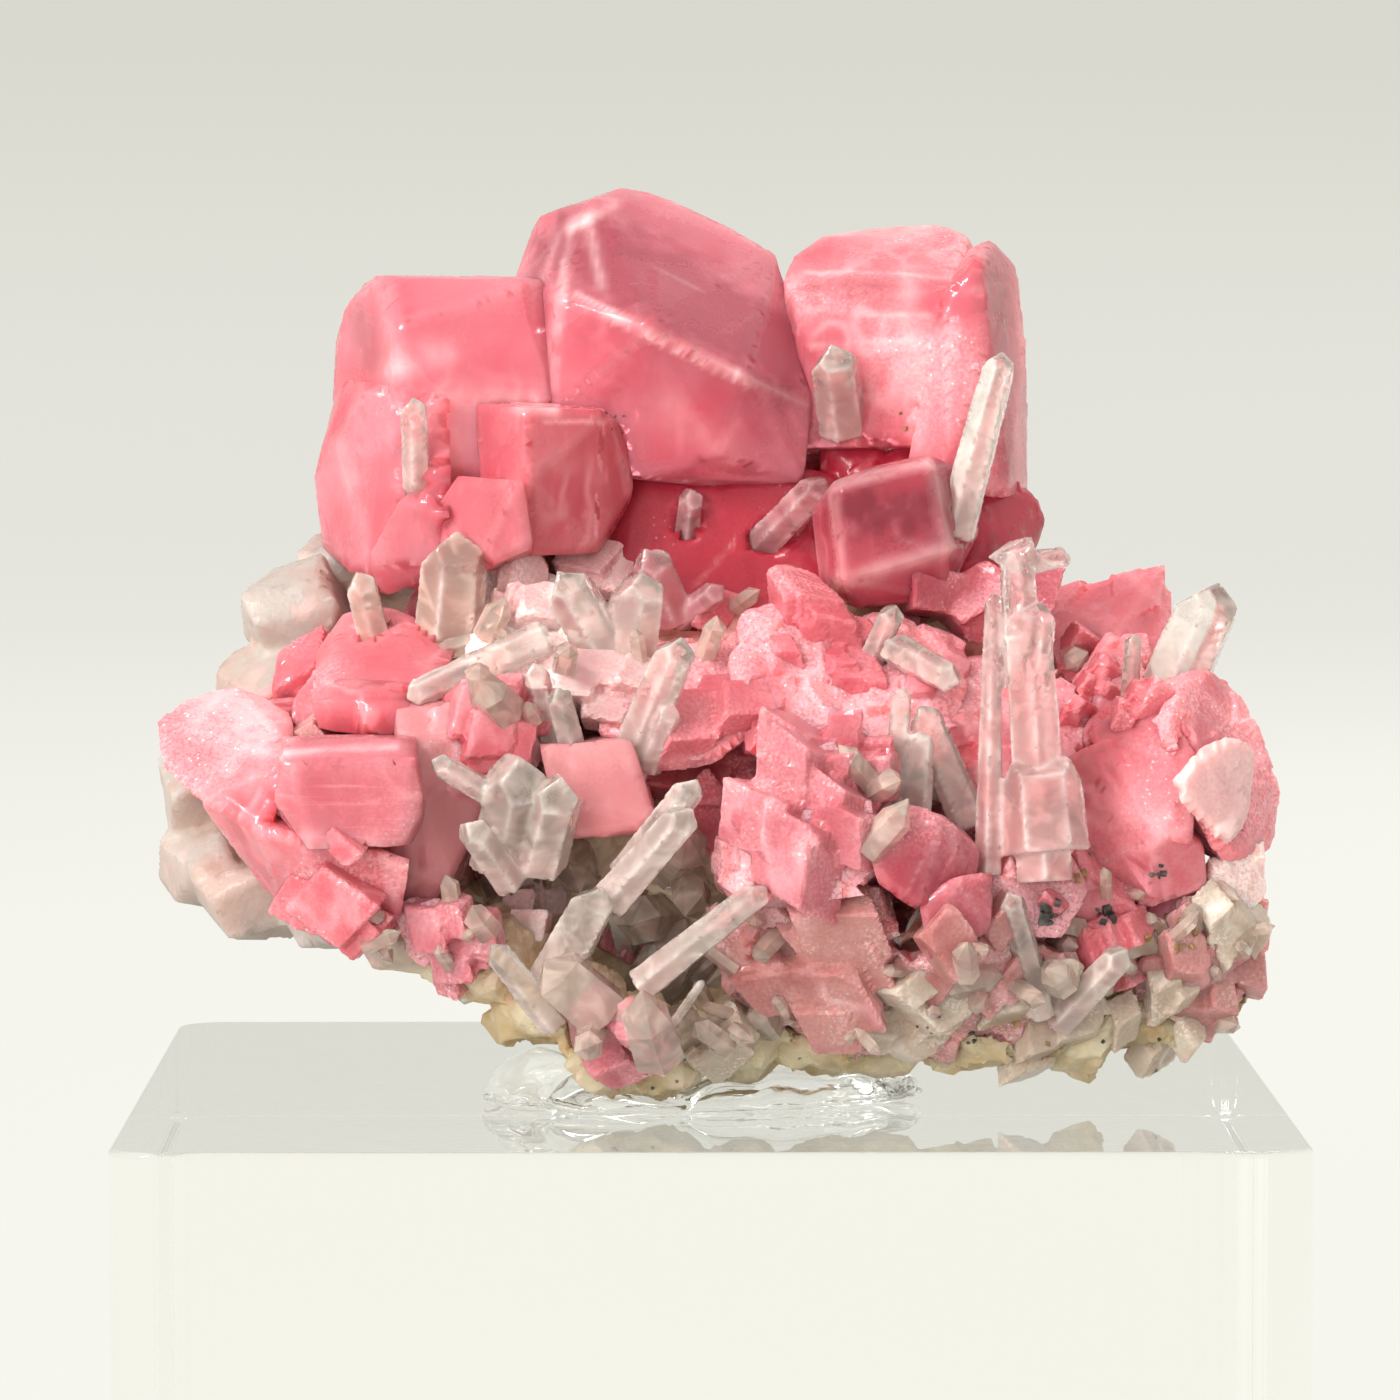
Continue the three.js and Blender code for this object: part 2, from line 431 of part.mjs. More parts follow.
  ],
  crown_centre: [
    faceted([-3.9, 3, 31.2], [-3, 4.5, 31.6], [-1.9, 4.5, 31.4], [0.5, 4.5, 30.3],
      [2.3, 4, 29.3], [2.9, 3, 27.2], [3.5, 1, 24.8], [3.5, 0.5, 24], [3.2, 0, 21.7],
      [3, 1, 21], [-5.1, -1.5, 27.8], [-2, -2.8, 26.8], [1.3, -2.4, 25.1], [0.3, -1.2, 22.5],
      [-2.4, -0.5, 21.8], [-5.3, -1, 24], [-6.6, 2.5, 28.5], [-6.1, 4, 29.9],
      [-5.8, 4.5, 30.6], [-5.2, 4, 30.8], [-5.8, 9, 29.1], [-3.8, 10, 30.7],
      [-0.2, 10, 29.6], [2.2, 9.5, 27.4], [2.9, 8, 21.2], [-5.3, 8, 21.2]),
  ],
  crown_left: [
    faceted([-11.2, 1, 28.4], [-6.1, 0, 28.3], [-5.6, -1, 24.1], [-10.6, -1.5, 24.5], [-8.6, -1, 19.8],
      [-10.8, -1, 26.8], [-12.6, 3, 27.5], [-11.7, 2.5, 28.4], [-13, 4, 26.2],
      [-13.1, 4, 24.2], [-5.6, 1, 20.7], [-12.8, 3, 21.3], [-11.5, 8.5, 27.7],
      [-6.2, 9, 27.9], [-13, 8, 23.4], [-5.7, 8, 21.2]),
    faceted([-12.7, 2, 24.7], [-11.8, -0.5, 24.6], [-9.4, -1.5, 24.3], [-9.3, -3, 20.2],
      [-10.1, -2.5, 18], [-12.5, 0, 18.5], [-13.4, 2, 19.2], [-13.7, 2.5, 21.5],
      [-13.1, 3, 23.9], [-13.1, 7, 23], [-13.5, 7, 19.7], [-10.3, 6, 18.3]),
    faceted([-10.3, -3.5, 20.9], [-11.5, -2.5, 18.7], [-11.3, -2, 17.8], [-9.2, -4, 18.7],
      [-9.3, -4, 20.6], [-10.9, 2, 18.5], [-9.3, 2, 18.5]),
  ],
  crown_right: [
    faceted([3, 3, 28.4], [3.4, 4.5, 29.2], [4.4, 5.5, 29.9], [6.5, 6.5, 30.2],
      [8.4, 6.5, 30.3], [9.3, 5, 29.9], [3.4, 1.5, 27.8], [8.3, 0.5, 28], [8.5, 0, 26.2],
      [3.8, 1, 26.2], [3.6, 1, 22.8], [7, 0, 22.9], [8.6, 0, 22.9], [3.5, 9, 28.1],
      [4.7, 10, 29.3], [9.1, 10, 29.8], [10.8, 9, 27.7], [10.8, 8, 21.2], [3.9, 8, 21.2]),
    faceted([9.6, 2.5, 29.5], [10.2, 4, 29.7], [11, 5, 28.9], [11.3, 5, 26.7],
      [11.4, 5, 24.2], [11.4, 4, 21.2], [9.6, 0.5, 29], [9.8, -0.5, 26.1], [8.6, -1.5, 22.8],
      [7.9, -1.5, 21.5], [10.4, -1, 21.1], [8.5, 0.3, 27.8], [7.3, -1, 21.8],
      [10.1, 9, 28.8], [11.1, 9, 28], [11.2, 8, 21.2], [8.2, 7, 21.2]),
  ],
  deep_wall: [
    faceted([-3.8, 0.5, 21], [-2, 0.8, 22.2], [-0.2, 0.8, 22.6], [1.4, 0.5, 22.2],
      [2.8, 0, 21.1], [4.5, 0.5, 21.5], [5.1, 0, 18.6], [4.7, -2, 16.2], [-3.1, -2, 15.9],
      [-4.1, -0.5, 18.6], [-3.8, 8, 21.2], [4.6, 8, 21.2], [4.9, 7, 16.1], [-3.8, 7, 16.1]),
    faceted([4.2, 1.4, 22.8], [9.4, 0, 22.2], [11, 1.5, 21.3], [11.8, 2, 20.6], [12, 2, 19.9],
      [11.7, 1.5, 19.1], [10.3, -1.5, 18.3], [8.7, -2, 18.4], [4.4, 0, 17], [9.3, 7, 20.5],
      [11.4, 6, 20.2], [11.4, 6, 18.3], [8.9, 6, 17], [4.4, 7, 17]),
  ],
};

// ---------------------------------------------------------------- matrix

// The vein quartz that everything grew on: lumps [centre], [half sizes] grown together.
const matrixLumps = [
  [[0.4, -1, 8.8], [18, 7.2, 5.4]],
  [[0, 1, 14.6], [15.4, 5.4, 3.8]],
  [[-0.4, 4, 18.2], [12.6, 4, 3.4]],
  [[-1, -2.6, 4], [7, 4.6, 2.4]],
  [[-14.6, 0.6, 16.6], [2.4, 2.9, 2.3]],
  [[-15.4, -0.4, 14], [2.1, 3.2, 2.1]],
  [[-13.2, 3, 18.2], [1.7, 2.2, 1.6]],
  [[-17.6, -1.8, 10.8], [2.2, 3.4, 2.6]],
  [[-17.6, -2.6, 8.2], [2, 3.2, 2]],
  [[-15.6, -4.4, 7.2], [2.6, 3, 1.7]],
  [[-12.8, -5.8, 6.8], [2.8, 3.4, 1.6]],
  [[-10.2, -6.8, 6.1], [2.6, 3.8, 1.6]],
  [[-7.6, -8, 5.4], [2.6, 3.8, 1.8]],
  [[-5.4, -8.6, 4], [2.5, 3.4, 1.9]],
  [[-3.2, -8.8, 2.5], [2.3, 3.2, 1.9]],
  [[-1.4, -8.6, 1.8], [2.1, 2.9, 1.6]],
  [[0.8, -8, 2.6], [2.5, 3.2, 1.8]],
  [[3.6, -7.2, 2.9], [2.4, 3.2, 1.9]],
  [[6.2, -6.6, 2.6], [2.2, 3.2, 1.8]],
  [[9, -7, 2.6], [2.5, 3.2, 1.6]],
  [[12.2, -6.8, 2.6], [2.6, 3.2, 1.6]],
  [[15, -5.8, 3.2], [2.4, 3.2, 1.6]],
  [[17.2, -4.4, 4.6], [2.3, 3.4, 2.3]],
  [[18.3, -3.2, 7.2], [1.8, 3.6, 2.7]],
  [[18.7, -2.6, 10.4], [1.6, 3, 2.7]],
  [[17, 0, 12.8], [2.6, 3, 2.6]],
  [[16, -0.4, 8.4], [3.4, 3.8, 5.2]],
  [[13.4, -3.8, 13], [1.8, 2.6, 2.2]],
  [[13.2, -6.6, 5.8], [3, 3, 3]],
];

// ---------------------------------------------------------------- joining and cutting

const allSolids = (geometries) => wasm.Manifold.union(geometries.map(solidOf));

// What later pieces keep clear of, as grown copies of the crystals placed so far.
const clearances = [];

function cutClear(solid) {
  return clearances.length ? solid.subtract(wasm.Manifold.union(clearances)) : solid;
}

function grownPiece(crystals) {
  const piece = largestPart(cutClear(allSolids(crystals)));
  for (const crystal of crystals) clearances.push(solidOf(grown(crystal, seatGap)));
  return piece;
}

const solids = {};
for (const pieces of [quartzPieces, rhodochrositePieces]) {
  for (const [name, crystals] of Object.entries(pieces)) solids[name] = grownPiece(crystals);
}
solids.matrix = grownPiece(matrixLumps.map(([centre, halfSizes], i) => lump(centre, halfSizes, i + 3)));

// The gel: a low pad with a few rounded lobes where it was pressed out, flat on the block.
function gelLobe([x, y], [rx, ry, rz]) {
  const dome = new THREE.SphereGeometry(1, 12, 6);
  dome.rotateX(Math.PI / 2);
  dome.scale(rx, ry, rz);
  dome.translate(x, y, seatGap);
  return solidOf(dome);
}

function gelPad() {
  const lobes = [
    gelLobe([-0.2, -4.6], [7.4, 5.6, gelTop]),
    gelLobe([-5.9, -6.6], [2.2, 2.6, 2]),
    gelLobe([-3, -8.6], [3, 2.4, 1]),
    gelLobe([4.6, -6.4], [1.7, 2.2, 1.5]),
    gelLobe([6.4, -5.8], [1.3, 1.7, 1.2]),
  ];
  const below = new THREE.BoxGeometry(blockSide, blockSide, 2 * gelTop);
  below.translate(0, 0, seatGap - gelTop);
  return largestPart(cutClear(wasm.Manifold.union(lobes).subtract(solidOf(below))));
}
solids.gel = gelPad();

// ---------------------------------------------------------------- block

function acrylicBlock() {
  const half = blockSide / 2 - blockEdgeBevel;
  const round = blockCornerRadius - blockEdgeBevel;
  const plan = new THREE.Shape();
  const quarter = Math.PI / 2;
  plan.absarc(half - round, half - round, round, 0, quarter);
  plan.absarc(round - half, half - round, round, quarter, 2 * quarter);
  plan.absarc(round - half, round - half, round, 2 * quarter, 3 * quarter);
  plan.absarc(half - round, round - half, round, 3 * quarter, 4 * quarter);
  const block = new THREE.ExtrudeGeometry(plan, {
    depth: blockHeight - 2 * blockEdgeBevel,
    bevelEnabled: true,
    bevelThickness: blockEdgeBevel,
    bevelSize: blockEdgeBevel,
    bevelSegments: 1,
    curveSegments: 4,
  });
  block.translate(0, 0, blockEdgeBevel);
  return geometryOf(solidOf(block));
}

// ---------------------------------------------------------------- assembly

const paleNames = ['lower_pale_mass', 'lower_right_mass', 'coated_cluster', 'pillar_foot', 'bottom_pinks'];
const deepNames = ['deep_wall', 'window_rhomb', 'cavity_rhomb'];

function finishFor(name) {
  if (name === 'gel' || name === 'matrix') return finishes[name];
  if (name === 'quartz_smoky_stub') return finishes.smokyQuartz;
  if (name in quartzPieces) return finishes.quartz;
  if (paleNames.includes(name)) return finishes.paleRhodochrosite;
  if (deepNames.includes(name)) return finishes.deepRhodochrosite;
  return finishes.rhodochrosite;
}

function namedMesh(name, geometry, finish) {
  const mesh = new THREE.Mesh(geometry, new THREE.MeshStandardMaterial({ ...finish, flatShading: true }));
  mesh.name = name;
  return mesh;
}

const object = new THREE.Group();
object.add(namedMesh('acrylic_block', acrylicBlock(), finishes.acrylic));

const specimen = new THREE.Group();
specimen.position.z = blockHeight;
for (const [name, solid] of Object.entries(solids)) {
  specimen.add(namedMesh(name, geometryOf(solid), finishFor(name)));
}
object.add(specimen);

export default object;
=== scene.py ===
# A rhodochrosite and quartz specimen, seated in clear gel on a clear display block.
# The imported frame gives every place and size; the crystals are grown finer from its nodes.
import itertools
import math
import random

import bmesh
import bpy
import numpy as np
from mathutils import Matrix, Vector
from mathutils.bvhtree import BVHTree


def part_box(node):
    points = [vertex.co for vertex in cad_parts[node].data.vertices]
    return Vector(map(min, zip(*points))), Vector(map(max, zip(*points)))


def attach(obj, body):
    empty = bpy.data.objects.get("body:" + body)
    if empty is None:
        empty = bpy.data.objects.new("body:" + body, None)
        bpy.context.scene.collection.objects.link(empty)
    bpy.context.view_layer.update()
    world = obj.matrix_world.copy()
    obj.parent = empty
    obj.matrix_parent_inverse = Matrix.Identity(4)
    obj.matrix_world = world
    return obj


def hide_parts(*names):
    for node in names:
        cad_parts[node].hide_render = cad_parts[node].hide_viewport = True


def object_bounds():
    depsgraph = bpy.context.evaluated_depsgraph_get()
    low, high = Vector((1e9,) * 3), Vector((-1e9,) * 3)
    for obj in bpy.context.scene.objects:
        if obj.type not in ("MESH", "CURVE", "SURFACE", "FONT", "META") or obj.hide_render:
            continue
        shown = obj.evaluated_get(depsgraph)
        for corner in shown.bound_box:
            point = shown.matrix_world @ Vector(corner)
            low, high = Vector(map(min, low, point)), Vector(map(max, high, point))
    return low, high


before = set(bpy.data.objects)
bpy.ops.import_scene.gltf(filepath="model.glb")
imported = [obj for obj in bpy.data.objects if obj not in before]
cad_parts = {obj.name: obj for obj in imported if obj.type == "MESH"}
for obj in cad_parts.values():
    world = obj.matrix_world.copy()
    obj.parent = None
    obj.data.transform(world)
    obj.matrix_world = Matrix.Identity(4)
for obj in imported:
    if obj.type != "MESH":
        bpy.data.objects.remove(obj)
cadLow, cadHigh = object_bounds()
mm = 0.001
blockLow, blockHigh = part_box("acrylic_block")
blockTop = blockHigh.z
scene = bpy.context.scene
print("frame loaded:", len(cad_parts), "nodes")


# camera, lights and the pale studio

camera = {"across": -2.4, "back": 260, "aboveBlock": 30.6, "lens": 188.5, "downTilt": 3.73, "rightTurn": 0.48}
eyeData = bpy.data.cameras.new("eye")
eyeData.lens = camera["lens"]
eyeData.sensor_width = 36
eyeData.clip_start, eyeData.clip_end = 0.01, 20
eye = bpy.data.objects.new("eye", eyeData)
eye.location = (camera["across"] * mm, -camera["back"] * mm, blockTop + camera["aboveBlock"] * mm)
eye.rotation_euler = (math.radians(90 - camera["downTilt"]), 0, math.radians(-camera["rightTurn"]))
scene.collection.objects.link(eye)
scene.camera = eye
scene.view_settings.view_transform = "Standard"
scene.cycles.max_bounces = 24  # light passes many faces inside clear crystals
scene.cycles.transmission_bounces = 24
scene.cycles.glossy_bounces = 12
scene.cycles.diffuse_bounces = 2
scene.cycles.use_light_tree = False  # only a few lamps

lamps = {
    "keyLamp": {"place": (-0.42, -0.34, 0.60), "size": 0.22, "watts": 3.8, "tint": (1.0, 0.985, 0.965)},
    "backLamp": {"place": (0.30, 0.50, 0.50), "size": 0.45, "watts": 3.0, "tint": (1.0, 0.985, 0.97)},
    "frontLamp": {"place": (-0.40, -0.55, 0.14), "size": 0.5, "watts": 3.6, "tint": (1.0, 0.99, 0.97)},
}
rockCentre = Vector((0, 0, blockTop + 15 * mm))
for name, lamp in lamps.items():
    light = bpy.data.lights.new(name, "AREA")
    light.shape = "DISK"
    light.size = lamp["size"]
    light.energy = lamp["watts"]
    light.color = lamp["tint"]
    holder = bpy.data.objects.new(name, light)
    holder.location = lamp["place"]
    holder.visible_glossy = name == "keyLamp"
    holder.rotation_euler = (rockCentre - Vector(lamp["place"])).to_track_quat("-Z", "Y").to_euler()
    scene.collection.objects.link(holder)


# shader maths

class Signal:
    # one socket in a material; sums on it add the nodes that work them out
    def __init__(self, finish, socket):
        self.finish, self.socket = finish, socket
        self.wide = socket.type in ("RGBA", "VECTOR")

    def sums(self, operation, other, flipped=False):
        wide = self.wide or isinstance(other, tuple) or getattr(other, "wide", False)
        pair = (other, self) if flipped else (self, other)
        kind = "ShaderNodeVectorMath" if wide else "ShaderNodeMath"
        return self.finish.add(kind, {"operation": operation}, {0: pair[0], 1: pair[1]})

    def __add__(self, other):
        return self.sums("ADD", other)

    def __radd__(self, other):
        return self.sums("ADD", other, True)

    def __sub__(self, other):
        return self.sums("SUBTRACT", other)

    def __rsub__(self, other):
        return self.sums("SUBTRACT", other, True)

    def __mul__(self, other):
        return self.sums("MULTIPLY", other)

    def __rmul__(self, other):
        return self.sums("MULTIPLY", other, True)

    def __abs__(self):
        return self.sums("ABSOLUTE", 0.0)

    # 0 below low, 1 above high, smooth between; also works with low above high
    def between(self, low, high):
        return self.finish.add("ShaderNodeMapRange", {"interpolation_type": "SMOOTHSTEP", "clamp": True},
                               {"Value": self, "From Min": low, "From Max": high})

    # the colour that lies this far from first to second
    def blend(self, first, second):
        return self.finish.add("ShaderNodeMix", {"data_type": "RGBA"}, {0: self, 6: first, 7: second}, 2)


class Finish:
    def __init__(self, name):
        self.material = bpy.data.materials.new(name)
        self.material.use_nodes = True
        self.tree = self.material.node_tree
        self.tree.nodes.clear()
        self.place = self.add("ShaderNodeTexCoord", {}, {}, "Object") * 1000.0  # in millimetres

    def add(self, kind, settings, sockets, out=0):
        node = self.tree.nodes.new(kind)
        for name, value in settings.items():
            setattr(node, name, value)
        for name, value in sockets.items():
            socket = node.inputs[name]
            if isinstance(value, Signal):
                self.tree.links.new(value.socket, socket)
            elif socket.type == "RGBA":
                socket.default_value = tuple(value) + (1.0,) if len(value) == 3 else value
            elif socket.type == "VECTOR" and not isinstance(value, tuple):
                socket.default_value = (value,) * 3
            else:
                socket.default_value = value
        return Signal(self, node.outputs[out])

    # cloudy values from 0 to 1; size is the width of a cloud in millimetres
    def clouds(self, size, detail=2.0, stretch=(1.0, 1.0, 1.0), offset=0.0, rough=0.5, twist=0.0):
        at = self.place * stretch + (offset, offset * 0.7, -offset)
        return self.add("ShaderNodeTexNoise", {}, {
            "Vector": at, "Scale": 1 / size, "Detail": detail, "Roughness": rough, "Distortion": twist})

    # how far each place is from the middle of its own small cell
    def cells(self, size):
        return self.add("ShaderNodeTexVoronoi", {}, {"Vector": self.place, "Scale": 1 / size}, "Distance")

    # cleavage domains: straight-sided cells, each with its own value from 0 to 1
    def domains(self, size, stretch):
        at = self.place * stretch
        shade = self.add("ShaderNodeTexVoronoi", {}, {"Vector": at, "Scale": 1 / size}, "Color")
        return self.add("ShaderNodeSeparateColor", {}, {0: shade})

    # a number that the mesh carries at each point
    def carried(self, name):
        return self.add("ShaderNodeAttribute", {"attribute_name": name}, {}, "Fac")

    # a normal that follows fine relief; depth in metres
    def bump(self, height, strength, depth):
        return self.add("ShaderNodeBump", {}, {"Height": height, "Strength": strength, "Distance": depth})

    def close(self, surface):
        node = self.tree.nodes.new("ShaderNodeOutputMaterial")
        self.tree.links.new(surface.socket, node.inputs["Surface"])
        return self.material


# the pale studio: a round floor that sweeps up to a wall

studio = {"floorRadius": 1.1, "sweep": 0.5, "wallHeight": 1.1, "colour": (0.20, 0.20, 0.19),
          "light": (1.0, 1.0, 0.93), "upperLight": (0.86, 0.86, 0.77), "glow": 0.60,
          "airTint": (1.0, 0.99, 0.95), "air": 0.75}


def studioBowl():
    profile = [(0.4, 0.0), (0.8, 0.0), (studio["floorRadius"], 0.0)]
    reach, bends, turns = studio["sweep"], 12, 96
    for bend in range(1, bends + 1):
        angle = math.radians(90 * bend / bends)
        profile.append((studio["floorRadius"] + reach * math.sin(angle), reach * (1 - math.cos(angle))))
    profile.append((profile[-1][0], studio["wallHeight"]))
    points = [(radius * math.cos(2 * math.pi * k / turns), radius * math.sin(2 * math.pi * k / turns), height)
              for radius, height in profile for k in range(turns)]
    points.append((0, 0, 0))
    faces = [(len(points) - 1, k, (k + 1) % turns) for k in range(turns)]
    for ring in range(len(profile) - 1):
        low = ring * turns
        faces += [(low + k, low + turns + k, low + turns + (k + 1) % turns, low + (k + 1) % turns)
                  for k in range(turns)]
    mesh = bpy.data.meshes.new("studioFloor")
    mesh.from_pydata(points, [], faces)
    mesh.polygons.foreach_set("use_smooth", [True] * len(mesh.polygons))
    floor = bpy.data.objects.new("studioFloor", mesh)
    scene.collection.objects.link(floor)
    paint = Finish("studioPaint")
    shade = paint.clouds(260.0, 1.0).between(0.35, 0.7)
    colour = shade.blend(studio["colour"], tuple(0.97 * c for c in studio["colour"]))
    height = paint.add("ShaderNodeSeparateXYZ", {}, {0: paint.place}, "Z")
    band = height.between(15.0, 120.0) * height.between(300.0, 160.0)
    light = band.blend(studio["light"], studio["upperLight"])
    mesh.materials.append(paint.close(paint.add("ShaderNodeBsdfPrincipled", {}, {
        "Base Color": colour, "Roughness": 0.9, "Specular IOR Level": 0.1,
        "Emission Color": light, "Emission Strength": studio["glow"]})))
    mesh.materials[0].cycles.emission_sampling = "NONE"


studioBowl()
world = bpy.data.worlds.new("studioAir")
world.use_nodes = True
air = world.node_tree.nodes["Background"]
air.inputs["Color"].default_value = (*studio["airTint"], 1)
air.inputs["Strength"].default_value = studio["air"]
scene.world = world
print("studio ready")


# repeatable noise on points, in millimetres

def numbered(cells, seed):
    x, y, z = cells[..., 0], cells[..., 1], cells[..., 2]
    mixed = (x * 73856093) ^ (y * 19349663) ^ (z * 83492791) ^ ((seed + 1) * 26544357)
    mixed = (mixed ^ (mixed >> 13)) * 1274126177
    mixed = mixed ^ (mixed >> 16)
    return (mixed & 0xFFFFFF) / float(0xFFFFFF)


# smooth noise from -1 to 1; size is the width of one bump
def clouds(points, size, seed=0, layers=1):
    total, weight, whole = np.zeros(len(points)), 1.0, 0.0
    for layer in range(layers):
        scaled = points / (size / 2 ** layer)
        cell = np.floor(scaled).astype(np.int64)
        part = scaled - cell
        part = part * part * (3 - 2 * part)
        value = np.zeros(len(points))
        for corner in itertools.product((0, 1), repeat=3):
            share = np.prod(np.where(np.array(corner) == 1, part, 1 - part), axis=1)
            value += share * numbered(cell + np.array(corner), seed + 31 * layer)
        total += weight * (2 * value - 1)
        whole += weight
        weight *= 0.5
    return total / whole


# broken facets: each cell of rock is a small tilted plane; gives its height and how near its border is
def facets(points, size, seed=0, slope=0.6):
    scaled = points / size
    cell = np.floor(scaled).astype(np.int64)
    best = np.full(len(points), 9.0)
    second = np.full(len(points), 9.0)
    height = np.zeros(len(points))
    for shift in itertools.product((-1, 0, 1), repeat=3):
        near = cell + np.array(shift)
        seat = near + np.stack([numbered(near, seed + k) for k in range(3)], axis=1)
        away = scaled - seat
        distance = np.linalg.norm(away, axis=1)
        tilt = np.stack([numbered(near, seed + 5 + k) - 0.5 for k in range(3)], axis=1)
        level = (numbered(near, seed + 9) - 0.5) + slope * np.sum(tilt * away, axis=1) * 2
        closer = distance < best
        second = np.where(closer, best, np.minimum(second, distance))
        height = np.where(closer, level, height)
        best = np.where(closer, distance, best)
    return height, second - best


# meshes

skins = []  # name and surface of each grown piece, to seat the small crystals on


# puts a finished mesh in the scene; nodes are the frame nodes that it stands in for
def addPiece(name, mesh, material, slot, *nodes):
    mesh.materials.clear()
    mesh.materials.append(material)
    piece = bpy.data.objects.new(name, mesh)
    scene.collection.objects.link(piece)
    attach(piece, "root")
    if nodes:
        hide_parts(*nodes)
    if nodes:
        skins.append((name, BVHTree.FromPolygons([v.co for v in mesh.vertices],
                                                 [tuple(face.vertices) for face in mesh.polygons])))


def pointsOf(mesh):
    flat = np.empty(len(mesh.vertices) * 3, np.float32)
    mesh.vertices.foreach_get("co", flat)
    return flat.reshape(-1, 3).astype(float) / mm


def setPoints(mesh, points):
    mesh.vertices.foreach_set("co", (points * mm).astype(np.float32).ravel())
    mesh.update()


def carry(mesh, name, values):
    layer = mesh.attributes.new(name, "FLOAT", "POINT")
    layer.data.foreach_set("value", np.asarray(values, np.float32))


def evenGrid(mesh, voxel):
    worker = bpy.data.objects.new("worker", mesh)
    scene.collection.objects.link(worker)
    remesh = worker.modifiers.new("evenGrid", "REMESH")
    remesh.mode = "VOXEL"
    remesh.voxel_size = voxel * mm
    made = bpy.data.meshes.new_from_object(worker.evaluated_get(bpy.context.evaluated_depsgraph_get()))
    bpy.data.objects.remove(worker)
    return made


# growth plates: low steps on the bigger faces, each beyond a line parallel to one of the face's edges
def plateHeights(solid, points, faceOf, dice, plates, rise):
    heights = np.zeros(len(points))
    for face in [face for face in solid.faces if face.calc_area() > 1.6 * mm * mm]:
        outline = [np.array(vert.co) / mm for vert in face.verts]
        here = faceOf == face.index
        for layer in range(dice.randint(1, plates)):
            k = dice.randrange(len(outline))
            start, side = outline[k], outline[(k + 1) % len(outline)] - outline[k]
            if np.linalg.norm(side) < 0.4:
                continue
            inward = np.cross(face.normal, side) / np.linalg.norm(side)
            reach = max((corner - start) @ inward for corner in outline)
            past = (points[here] - start) @ inward - dice.uniform(0.08, 0.6) * reach
            past += 0.06 * clouds(points[here], 0.7, layer, 2)
            heights[here] += dice.uniform(0.5, 1.2) * rise * np.clip(past / 0.1, 0, 1)
    return heights


# takes away the small closed bubbles that a voxel mesh can hold
def dropBubbles(mesh):
    pairs = np.empty(len(mesh.edges) * 2, np.int32)
    mesh.edges.foreach_get("vertices", pairs)
    pairs = pairs.reshape(-1, 2)
    label, before = np.arange(len(mesh.vertices)), None
    while before is None or (label != before).any():
        before = label.copy()
        low = np.minimum(label[pairs[:, 0]], label[pairs[:, 1]])
        for side in (0, 1):
            np.minimum.at(label, before[pairs[:, side]], low)
            np.minimum.at(label, pairs[:, side], low)
        label = label[label]
    small = np.bincount(label, minlength=len(label))[label] < 60
    solid = bmesh.new()
    solid.from_mesh(mesh)
    bmesh.ops.delete(solid, geom=[vert for vert, own in zip(solid.verts, small) if own], context="VERTS")
    solid.to_mesh(mesh)
    solid.free()


# how far each point stands out from its neighbours, in millimetres; below zero in a crease
def ridges(mesh, points, outward):
    pairs = np.empty(len(mesh.edges) * 2, np.int32)
    mesh.edges.foreach_get("vertices", pairs)
    pairs = pairs.reshape(-1, 2)
    total, count = np.zeros_like(points), np.zeros(len(points))
    for one, other in ((0, 1), (1, 0)):
        np.add.at(total, pairs[:, one], points[pairs[:, other]])
        np.add.at(count, pairs[:, one], 1)
    return np.sum((points - total / np.maximum(count, 1)[:, None]) * outward, axis=1)


# a fine even mesh of a frame node with its flat faces kept flat and its edges sharp. Gives the mesh,
# its points, the way out at each point, the distance to the nearest edge and the growth plates' height
def fineCopy(node, voxel, plates=0, rise=0.0, seed=0):
    solid = bmesh.new()
    solid.from_mesh(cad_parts[node].data)
    bmesh.ops.remove_doubles(solid, verts=solid.verts, dist=2e-6)
    plain = bpy.data.meshes.new("plain")
    solid.to_mesh(plain)
    bmesh.ops.dissolve_limit(solid, angle_limit=0.02, verts=solid.verts, edges=solid.edges)
    solid.faces.index_update()
    solid.normal_update()
    nearest = BVHTree.FromBMesh(solid)
    mesh = evenGrid(plain, voxel)
    points = pointsOf(mesh)
    edgeDistance = np.full(len(points), 99.0)
    edgePlace, normals = points.copy(), np.zeros_like(points)
    realEdges = [edge for edge in solid.edges if len(edge.link_faces) == 2 and edge.calc_face_angle(0) > 0.12]
    for edge in realEdges:
        start, end = (np.array(vert.co) / mm for vert in edge.verts)
        first, second = (face.normal for face in edge.link_faces)
        along = np.clip((points - start) @ (end - start) / max((end - start) @ (end - start), 1e-9), 0, 1)
        place = start + along[:, None] * (end - start)
        gap = np.linalg.norm(points - place, axis=1)
        closer = gap < edgeDistance
        edgeDistance[closer] = gap[closer]
        edgePlace[closer] = place[closer]
        normals[closer] = np.array(first + second) / max(1 + first.dot(second), 0.6)
    onEdge = edgeDistance < 0.6 * voxel
    faceOf = np.full(len(points), -1)
    for k in np.nonzero(~onEdge)[0]:
        place, normals[k], faceOf[k] = nearest.find_nearest(points[k] * mm)[:3]
        points[k] = np.array(place) / mm
    points[onEdge] = edgePlace[onEdge]
    heights = np.zeros(len(points))
    if plates:
        heights = plateHeights(solid, points, faceOf, random.Random(seed), plates, rise)
    solid.free()
    return mesh, points, normals, edgeDistance, heights


# rhodochrosite finishes

